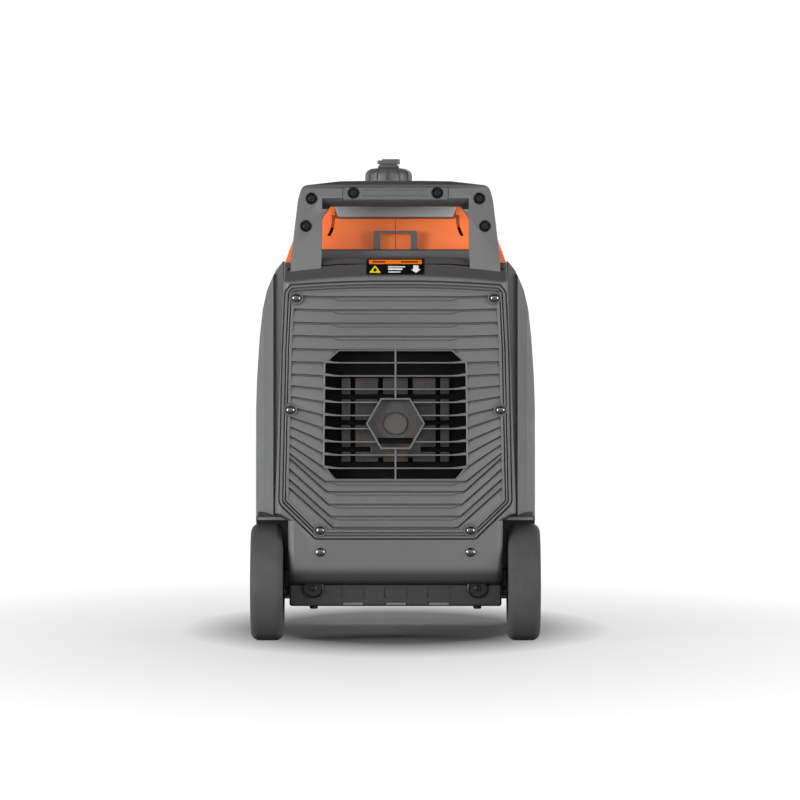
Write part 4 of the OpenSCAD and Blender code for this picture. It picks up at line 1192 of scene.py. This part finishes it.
# ---------------------------------------------------------------- side covers
def side_solid(grow):
    """Both side covers as one solid block, shrunk by grow."""
    side = SIDE - grow
    half = [(side, 58 + grow), (side, 250), (side - 1.5, 288), (side - 4.5, 330), (side - 8, 360),
            (side - 13, 381 - grow / 2), (side - 22.5, 402 - grow), (100, 440 - grow)]
    outline = filleted(both_sides(half), [5, 60, 60, 60, 40, 25, 8, 1, 1, 8, 25, 40, 60, 60, 60, 5])
    end = 262 - grow
    plan = [(131.5, end), (side - 9, end - 18), (side, end - 44), (side, 44 - end), (side - 9, 18 - end),
            (131.5, -end)]
    plan = filleted(plan, [2, 16, 40, 40, 16, 2])
    block_plan = prism([(60, end)] + plan + [(60, -end)], "z", 0, 460)
    return joined(prism(outline, "y", -end, end), block_plan, "INTERSECT")


def frame_room():
    half = [(116.6, -10), (116.6, 130.4), (130.6, 138.4), (130.6, 151), (121.6, 404), (121.6, 480)]
    return prism(both_sides(half), "y", -400, 400)


def louvre(y0, y1, z):
    """A slanted slot with rounded ends."""
    slot = prism(filleted(oblong(y0, y1, -1.7, 1.7), 1.6, 3), "x", SIDE - 14, SIDE + 14)
    lean = Matrix.Translation(Vector((SIDE, 0, z)) * MM) @ Matrix.Rotation(math.radians(28), 4,
            "Y") @ Matrix.Translation(Vector((-SIDE, 0, 0)) * MM)
    return moved(slot, lean)


ARCH_RADIUS = 73.5
COVER_WALL = 3
LOUVRE_PITCH = 15
LATCH_Y, LATCH_Z = middle("door_latch").y, 175
DOOR_Y0, DOOR_Y1 = low("service_door").y + 2.4, high("service_door").y
DOOR_Z0, DOOR_Z1 = 110, 240
ROPE_Y, ROPE_Z = middle("recoil_grip").y, middle("recoil_grip").z


def cover_shell():
    """The right-hand cover before its own openings."""
    shell = cut(rounded(side_solid(0), 1.6, 3, 34), side_solid(COVER_WALL))
    arch = pin("x", AXLE_Y, AXLE_Z, ARCH_RADIUS, 60, 300, 64)
    skirt = block(100, 300, -300, AXLE_Y, 0, ARCH_RADIUS)
    return cut(shell, frame_room(), arch, skirt, block(-300, 0, -400, 400, 0, 500))


def arch_liner():
    """The wall of the wheel arch above the axle, left open towards the exhaust face."""
    wall = pin("x", AXLE_Y, AXLE_Z, ARCH_RADIUS + COVER_WALL, 117.6, SIDE - COVER_WALL, 64)
    return cut(wall, pin("x", AXLE_Y, AXLE_Z, ARCH_RADIUS, 60, 300, 64),
               block(60, 300, -400, AXLE_Y - 28, 0, 200), block(60, 300, -400, 400, -100, AXLE_Z),
               frame_room())


def make_left_cover():
    left = moved(merged(cover_shell(), arch_liner()), MIRROR_X)
    slots = [(-150, -20, z) for z in range(186, 331, LOUVRE_PITCH)]
    slots += [(60, 190, z) for z in range(276, 331, LOUVRE_PITCH)]
    for y0, y1, z in slots:
        left = cut(left, moved(louvre(y0, y1, z), MIRROR_X))
    eye = pin("x", ROPE_Y, ROPE_Z, 5, -SIDE - 9, -SIDE + 30)
    dish = pin("x", ROPE_Y, ROPE_Z, 21, -SIDE - 9, -SIDE + 1.5, 48)
    piece("side_cover_left_shell", cut(left, eye, dish), replaced="side_cover_left")


def make_right_cover():
    y0, y1, z0, z1 = DOOR_Y0, DOOR_Y1, DOOR_Z0, DOOR_Z1
    right = joined(cover_shell(), block(SIDE - 7, SIDE - 1, y0 - 9, y1 + 6, z0 - 8, z1 + 8), "UNION")
    recess = block(SIDE - 3.5, SIDE + 9, y0 - 4.6, y1 + 0.6, z0 - 0.6, z1 + 0.6)
    hinge_room = block(SIDE - 5.5, SIDE + 9, y0 - 4.6, y0 + 4, z0 - 0.6, z1 + 0.6)
    right = cut(right, recess, hinge_room, block(100, SIDE + 9, y0 + 7, y1 - 6, z0 + 8, z1 - 8))
    slots = [(80, 190, z) for z in range(186, 331, LOUVRE_PITCH)] + [(-150, 40, z) for z in (291, 306, 321)]
    for slot in slots:
        right = cut(right, louvre(*slot))
    piece("side_cover_right_shell", merged(right, arch_liner()), replaced="side_cover_right")


def make_service_door():
    y0, y1, z0, z1 = DOOR_Y0, DOOR_Y1, DOOR_Z0, DOOR_Z1
    pin_x = SIDE - 2.5
    outline = filleted(oblong(y0 + 0.5, y1 - 0.2, z0 + 0.2, z1 - 0.2), [1, 6, 6, 1])
    plate = rounded(prism(outline, "x", SIDE - 3, SIDE), 0.7, 2, 40)
    plate = cut(plate, pin("x", LATCH_Y, LATCH_Z, 3.05, 100, 200, 24))
    for i in range(6):
        z = z0 + 20 + 18 * i
        groove = filleted(oblong(y0 + 20, y1 - 38, z - 1.2, z + 1.2), 1.1, 3)
        plate = cut(plate, prism(groove, "x", SIDE - 1.3, SIDE + 9))
    roll = spun(0, [(z0, 2.0), (z0 + 0.4, 2.4), (z1 - 0.4, 2.4), (z1, 2.0)], "z", pin_x, y0, 24)
    stub = spun(0, [(z0 - 4, 1.3), (z0 - 3.7, 1.5), (z1 + 3.7, 1.5), (z1 + 4, 1.3)], "z", pin_x, y0, 20)
    piece("service_door_leaf", merged(plate, roll, stub), replaced="service_door")


def make_door_latch():
    y, z = LATCH_Y, LATCH_Z
    knob = spun(SIDE, [(0.3, 9.6), (0.7, 10), (3.2, 10), (4, 9.2)], "x", y, z, 48)
    slot = rounded(block(SIDE + 2.2, SIDE + 9, y - 1.2, y + 1.2, z - 8, z + 8), 0.2, 1)
    shaft = spun(SIDE, [(-10, 3), (1, 3)], "x", y, z, 24)
    cam = rounded(block(SIDE - 9.4, SIDE - 7.5, y - 4, y + 4, z - 4, z + 18), 0.5, 2)
    piece("door_latch_knob", merged(cut(knob, slot), shaft, cam), replaced="door_latch")


def make_starter():
    """The recoil grip, and the stretch of rope between it and the housing."""
    out = low("recoil_grip").x
    half = [(ROPE_Y - 18, ROPE_Z - 5), (ROPE_Y - 8, ROPE_Z - 6.5), (ROPE_Y + 8, ROPE_Z - 6.5),
            (ROPE_Y + 18, ROPE_Z - 5)]
    rest = [(ROPE_Y + 18, ROPE_Z + 5), (ROPE_Y + 8, ROPE_Z + 6.5), (ROPE_Y - 8, ROPE_Z + 6.5),
            (ROPE_Y - 18, ROPE_Z + 5)]
    grip = prism(filleted(half + rest, 3), "x", out, out + 5.2)
    neck = spun(out, [(3, 4.6), (13, 4.6), (14, 3.6)], "x", ROPE_Y, ROPE_Z, 24)
    piece("starter_grip", merged(rounded(grip, 1.6, 3), neck), replaced="recoil_grip")
    rope = spun(out, [(6, 1.7), (13.2, 1.7), (16, 1.7), (40, 1.7)], "x", ROPE_Y, ROPE_Z, 16)
    rope.name = "starter_rope"
    rope.materials.append(ROPE)
    rope_obj = bpy.data.objects.new("starter_rope", rope)
    COLLECTION.objects.link(rope_obj)
    housing_end, grip_end = place("x", ROPE_Y, ROPE_Z, out + 15.8), place("x", ROPE_Y, ROPE_Z, out + 13.4)
    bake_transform(rope_obj)


# ---------------------------------------------------------------- tow handle
TOW_Y, TOW_Z, TUBE_X = middle("tow_grip").y, 407.0, 104.0


def make_tow_tube():
    radius, bend, steps = 6.0, 14.0, 28
    path = [(TUBE_X, z) for z in (118, 200, 300, 380)]
    path += arc_points((TUBE_X - bend, TOW_Z - bend), bend, 0, 90, 9)
    path = path + [(-x, z) for x, z in reversed(path)]
    rings = []
    for i, (x, z) in enumerate(path):
        before, after = Vector(path[max(0, i - 1)]), Vector(path[min(len(path) - 1, i + 1)])
        along = (after - before).normalized()
        side = Vector((along.y, 0, -along.x))
        ring = []
        for k in range(steps):
            angle = 2 * math.pi * k / steps
            point = Vector((x, TOW_Y, z)) + side * radius * math.cos(angle)
            ring.append((point + Vector((0, radius * math.sin(angle), 0))) * MM)
        rings.append(ring)
    piece("tow_tube", loft(rings), replaced="tow_handle")


def make_tow_grip():
    profile = [(-62, 6.05), (-62, 8.6), (-61, 9.8), (-58, 10)]
    for i in range(-9, 10):
        profile += [(i * 6 - 2.2, 10.0), (i * 6 - 1.2, 9.1), (i * 6 + 1.2, 9.1), (i * 6 + 2.2, 10.0)]
    profile += [(58, 10), (61, 9.8), (62, 8.6), (62, 6.05)]
    grip = cut(turned(profile, "x", TOW_Y, TOW_Z, 48), pin("z", 0, TOW_Y, 5, TOW_Z + 5.6, 425, 28))
    collar = turned([(TOW_Z + 8.4, 5.05), (TOW_Z + 8.4, 7.4), (TOW_Z + 9.7, 6.6), (TOW_Z + 9.9, 5.05)],
                    "z", 0, TOW_Y, 32)
    piece("tow_grip_sleeve", merged(grip, collar), replaced="tow_grip")
    top = high("tow_button").z
    button = spun(0, [(TOW_Z + 8.3, 4.6), (top - 0.8, 4.6), (top - 0.2, 4.0), (top, 2.8)], "z", 0, TOW_Y, 32)
    piece("tow_release_button", button, replaced="tow_button")


def make_tow_guides():
    z0, z1 = low("tow_guides").z, high("tow_guides").z
    outline = filleted(oblong(TUBE_X - 9, TUBE_X + 9, END + 0.1, END + 14), [0.5, 0.5, 5, 5])
    guide = cut(rounded(prism(outline, "z", z0, z1), 0.8, 2, 40), pin("z", TUBE_X, TOW_Y, 6.1, 60, 500, 32))
    for z in (z0 + 16, z1 - 16):
        guide = cut(guide, rounded(block(TUBE_X - 12, TUBE_X + 12, END + 12.6, END + 20, z - 4, z + 4),
                                   0.5, 2))
    bands = [rounded(block(TUBE_X - 7.6, TUBE_X + 7.6, END + 11.6, END + 13.7, z - 3, z + 3), 0.5, 2)
             for z in (z0 + 16, z1 - 16)]
    piece("tow_guide_rails", with_mirror(merged(guide, *bands), MIRROR_X), replaced="tow_guides")


# ---------------------------------------------------------------- control panel
def plate_at(x0, x1, z0, z1, y0, y1, radius=3.0, edge=0.6):
    return rounded(prism(filleted(oblong(x0, x1, z0, z1), radius), "y", y0, y1), edge, 2)


FRONT = high("control_panel").y
DIAL_X, DIAL_Z = middle("engine_dial").x, middle("engine_dial").z
SWITCH_X, SWITCH_Z = middle("economy_switch").x, 280.0
BREAKER_X, BREAKER_Z = middle("breaker_button").x, middle("breaker_button").z
GROUND_X, GROUND_Z = 72, 138
ROUND_X, ROUND_Z = 38, 174
SQUARE_SOCKETS = (152, 196)


def make_panel():
    plate = plate_at(-89.5, 89.5, 120.5, 379.5, FRONT - 5, FRONT, 4.5, 0.6)
    plate = cut(plate, pin("y", DIAL_X, DIAL_Z, 4.05, 200, 400, 24),
                pin("y", BREAKER_X, BREAKER_Z, 5.3, 200, 400, 24),
                block(SWITCH_X - 8, SWITCH_X + 8, 200, 400, SWITCH_Z - 12.6, SWITCH_Z + 12.6),
                pin("y", GROUND_X, GROUND_Z, 4.05, 200, 400, 20))
    groove = cut(plate_at(-85, 85, 125, 375, FRONT - 0.7, FRONT + 2, 3.5, 0.1),
                 plate_at(-84, 84, 126, 374, FRONT - 3, FRONT + 5, 3, 0.1))
    piece("panel_plate", cut(plate, groove), replaced="control_panel")


def make_display():
    bezel = cut(plate_at(-39, 39, 315, 365, FRONT - 0.5, FRONT + 3.4, 4, 1.0),
                plate_at(-34.5, 34.5, 319.5, 360.5, FRONT - 3, FRONT + 9, 2, 0.1))
    piece("display_bezel", bezel, "dark_plastic")
    piece("display_glass", plate_at(-34.3, 34.3, 319.7, 360.3, FRONT, FRONT + 2.2, 1.8, 0.2),
          replaced="display_window")
    # seven segment digits as bars, a generic reading
    segments = {"0": "abcdef", "2": "abged", "3": "abgcd"}
    shapes = []
    for column, digit in enumerate("230"):
        x0 = 24 - 11 * column
        spans = {"a": (0, 14, 7, 15.3), "d": (0, 0, 7, 1.3), "g": (0, 7, 7, 8.3),
                 "f": (-0.2, 7.8, 1.1, 14.4), "e": (-0.2, 0.8, 1.1, 7.4), "b": (6, 7.8, 7.3, 14.4),
                 "c": (6, 0.8, 7.3, 7.4)}
        for letter in segments[digit]:
            u0, v0, u1, v1 = spans[letter]
            shapes.append(block(x0 - u1, x0 - u0, FRONT + 2.1, FRONT + 2.32, 335 + v0, 335 + v1))
    for i in range(6):
        shapes.append(block(-30 + 5 * i, -26.6 + 5 * i, FRONT + 2.1, FRONT + 2.32, 324, 325.4 + 0.9 * i))
    piece("display_segments", merged(*shapes), "display", material=INKS["lit"])


def make_sockets():
    sockets = []
    for z in SQUARE_SOCKETS:
        body = plate_at(-72, -28, z - 16, z + 16, FRONT, FRONT + 5, 4, 0.8)
        body = cut(body, pin("y", -50, z, 13.5, FRONT + 3.4, FRONT + 9, 40))
        body = cut(body, *[block(x - 1.2, x + 1.2, FRONT + 1, FRONT + 9, z, z + 8) for x in (-57, -43)],
                   pin("y", -50, z - 7, 2.6, FRONT + 1, FRONT + 9, 20))
        sockets.append(body)
    ring = [(0, 24), (1, 25), (4.5, 25), (6, 23.4), (6, 19.5), (4.2, 19)]
    round_socket = spun(FRONT, ring, "y", ROUND_X, ROUND_Z, 64)
    for i in range(3):
        outer, inner = (arc_points((ROUND_X, ROUND_Z), r, 120 * i + 15, 120 * i + 65, 8)
                        for r in (14.0, 11.4))
        round_socket = cut(round_socket, prism(outer + inner[::-1], "y", FRONT + 1, FRONT + 9))
    round_socket = cut(round_socket, pin("y", ROUND_X, ROUND_Z, 4.2, FRONT + 2, FRONT + 9, 24))
    usb = plate_at(-20, 20, 246, 266, FRONT, FRONT + 4, 3, 0.8)
    usb = cut(usb, *[plate_at(x - 6, x + 6, 253, 259, FRONT + 1, FRONT + 9, 0.8, 0.1) for x in (-10, 10)])
    tongues = [block(x - 5, x + 5, FRONT + 1.0, FRONT + 3.2, 255.4, 256.8) for x in (-10, 10)]
    covers = [plate_at(-75, -25, z + 16.6, z + 19.6, FRONT, FRONT + 6, 1.2, 0.6) for z in SQUARE_SOCKETS]
    piece("socket_bodies", merged(*sockets, round_socket, usb, *tongues, *covers), replaced="power_sockets")


def make_dial():
    def ridges(angle, along):
        return 0.7 * max(0, math.cos(angle * 24)) if along > FRONT + 0.5 else 0

    knob = [(0.4, 19.4), (1.2, 20), (4, 19.6), (6.4, 17.8), (7, 16.5)]
    base = spun(FRONT, knob, "y", DIAL_X, DIAL_Z, 96, ridges)
    grip = [(DIAL_X + x, DIAL_Z + z) for x, z in ((-4, -18), (4, -18), (2.6, 18), (-2.6, 18))]
    bar = rounded(prism(filleted(grip, 1.8), "y", FRONT + 5, FRONT + 17), 1.2, 3)
    stem = spun(FRONT, [(-8, 4), (2, 4)], "y", DIAL_X, DIAL_Z, 20)
    piece("engine_dial_knob", merged(base, bar, stem), replaced="engine_dial")
    mark = rounded(block(DIAL_X - 0.7, DIAL_X + 0.7, FRONT + 16.4, FRONT + 17.15, DIAL_Z + 5,
                         DIAL_Z + 16), 0.2, 1)
    piece("engine_dial_mark", mark, "button_white", body="dial")


def make_panel_print():
    """The dial's marks, the marks under the lamps and the frames round the groups, all blank."""
    ticks = []
    for angle in (-45, 0, 45, 90):
        tick = rounded(block(-0.8, 0.8, FRONT - 0.3, FRONT + 0.25, 22.5, 26.5), 0.1, 1)
        ticks.append(moved(tick, Matrix.Translation(Vector((DIAL_X, 0,
                DIAL_Z)) * MM) @ Matrix.Rotation(math.radians(angle), 4, "Y")))
    for x in (-24, -12, 0, 12, 24):
        ticks.append(plate_at(x - 2.2, x + 2.2, 304.5, 306, FRONT - 0.3, FRONT + 0.2, 0.3, 0.05))
    frames = [(-78, -22, 130, 218), (8, 68, 144, 204), (-26, 26, 240, 272), (36, 64, 260, 300),
              (-16, 16, 212, 238)]
    for x0, x1, z0, z1 in frames:
        ticks.append(cut(plate_at(x0, x1, z0, z1, FRONT - 0.3, FRONT + 0.16, 3, 0.05),
                         plate_at(x0 + 0.7, x1 - 0.7, z0 + 0.7, z1 - 0.7, FRONT - 2, FRONT + 3, 2.4,
                                  0.05)))
    piece("panel_print", merged(*ticks), "button_white")


def make_lamps():
    dome = [(-0.5, POLE), (-0.5, 2.6), (0.8, 2.6), (1.6, 1.8), (1.9, POLE)]
    for name, x, ink in (("green", -24, "green"), ("amber", -12, "yellow"), ("red", 0, "red")):
        lamp = turned([(FRONT + y, r) for y, r in dome], "y", x, 310.5, 20)
        piece("lamp_" + name, lamp, "display", material=INKS[ink])


def make_switches():
    rocker_y, radius = FRONT - 7, 12
    drum = arc_points((rocker_y, SWITCH_Z), radius, -180, -10, 17)
    step = [(radius, 0), (9, 0.2), (9.0, 7.8), (7, 9.7)]
    drum += [(rocker_y + y, SWITCH_Z + z) for y, z in step]
    drum += arc_points((rocker_y, SWITCH_Z), radius, 60, 170, 11)
    drum = rounded(prism(drum, "x", SWITCH_X - 6.9, SWITCH_X + 6.9), 0.4, 2)
    piece("economy_rocker", drum, replaced="economy_switch")
    surround = cut(plate_at(SWITCH_X - 10.5, SWITCH_X + 10.5, SWITCH_Z - 15, SWITCH_Z + 15, FRONT - 1,
                            FRONT + 1.6, 1.5, 0.6), block(SWITCH_X - 7.9, SWITCH_X + 7.9, FRONT - 9,
            FRONT + 9, SWITCH_Z - 12.5, SWITCH_Z + 12.5))
    nut = turned([(FRONT - 0.3, 5.4), (FRONT - 0.3, 9.5), (FRONT + 1.6, 9.0), (FRONT + 1.8, 8.2),
                  (FRONT + 1.8, 5.4)], "y", BREAKER_X, BREAKER_Z, 6)
    piece("switch_surrounds", merged(surround, nut), "dark_plastic")
    reach = high("breaker_button").y
    button = spun(0, [(FRONT - 10, 7), (FRONT - 8, 7), (FRONT - 8, 5), (reach - 0.8, 5),
                      (reach - 0.2, 4.4), (reach, 3.2)], "y", BREAKER_X, BREAKER_Z, 32)
    piece("breaker_push", button, replaced="breaker_button")


def make_ground_post():
    screw = spun(FRONT, [(-10, 4), (13.4, 4), (14, 3.4)], "y", GROUND_X, GROUND_Z, 24)
    nut = [(FRONT, 4.1), (FRONT, 8), (FRONT + 4.6, 8), (FRONT + 5, 7.4), (FRONT + 5, 4.1)]
    nut = turned(nut, "y", GROUND_X, GROUND_Z, 6)
    below = [(-14, -2.5), (-8, -4), (8, -4), (14, -2.5)]
    wing = [(GROUND_X + x, GROUND_Z + z) for x, z in below + [(x, -z) for x, z in reversed(below)]]
    wing = rounded(prism(filleted(wing, 1.5, 3), "y", FRONT + 5, FRONT + 8), 0.8, 2)
    piece("ground_post", merged(screw, nut, wing), replaced="ground_terminal")


# ---------------------------------------------------------------- single materials, then every piece
INKS = {
    "black": printed("label black", (0.004, 0.004, 0.004), 0.3),
    "orange": printed("label orange ink", (0.95, 0.2, 0.012), 0.35),
    "yellow": printed("label yellow", (0.9, 0.72, 0.01), 0.35),
    "white": printed("label white", (0.9, 0.9, 0.9), 0.35),
    "green": printed("lamp green", (0.03, 0.45, 0.08), 0.15),
    "red": printed("lamp red", (0.6, 0.02, 0.02), 0.15),
    "lit": printed("display segments", (0.35, 0.75, 0.7), 0.3),
}
# painted shade: the deck darkens faces that look up or down, strongly
MATERIAL_DECK = plastic("deck plastic", tuple(c * 3.6 for c in GREY), 0.42, painted_tilt_shade=0.93)
ROPE = rubber("starter rope", (0.07, 0.07, 0.072))
TYRE = rubber("tyre rubber", (0.085, 0.085, 0.086))
# near-black heat shield plate, heat browned, and painted shade for the dark space behind the grille
SOOT_AND_SHADE_BLACK = scorched("soot_and_shade_black", (0.004, 0.004, 0.004), 0.04, 0.08)
PAD_GREY = plastic("grip pad", tuple(c * 0.85 for c in GREY), 0.7)
CAP_GREY = plastic("cap plastic", tuple(c * 0.72 for c in GREY), 0.45)
# strong painted shade in the grille's step lines
GRILLE_GREY = plastic("grille plastic", GREY, 0.5, crevice_shade_depth=0.85, reach=0.007)
SCREW_STEEL = metal("black zinc", (0.24, 0.24, 0.245), 0.22)
OUTLET_GREY = scorched("outlet steel", (0.11, 0.11, 0.11))

make_rear_frame()
make_front_frame()
make_grille()
make_gap_shade_seal()
make_screws()
make_handles()
make_top()
make_deck()
make_label()
make_base()
make_axle()
make_wheels()
make_fuel_cap()
make_heat_shield()
make_left_cover()
make_right_cover()
make_service_door()
make_door_latch()
make_starter()
make_tow_tube()
make_tow_grip()
make_tow_guides()
make_panel()
make_display()
make_sockets()
make_dial()
make_panel_print()
make_lamps()
make_switches()
make_ground_post()
EDGE_WIDTHS = {"front_feet": 2.0, "crankcase": 2.0, "rocker_cover": 3.0, "muffler": 1.5,
               "air_cleaner": 3.0, "inverter_module": 0.8,}
for node, width in EDGE_WIDTHS.items():
    refined(node, width)
# the CAD objects themselves also get a material each
for node, obj in frame["nodes"].items():
    obj.data.materials.clear()
    obj.data.materials.append(MATERIALS[SLOT_OF[node]])
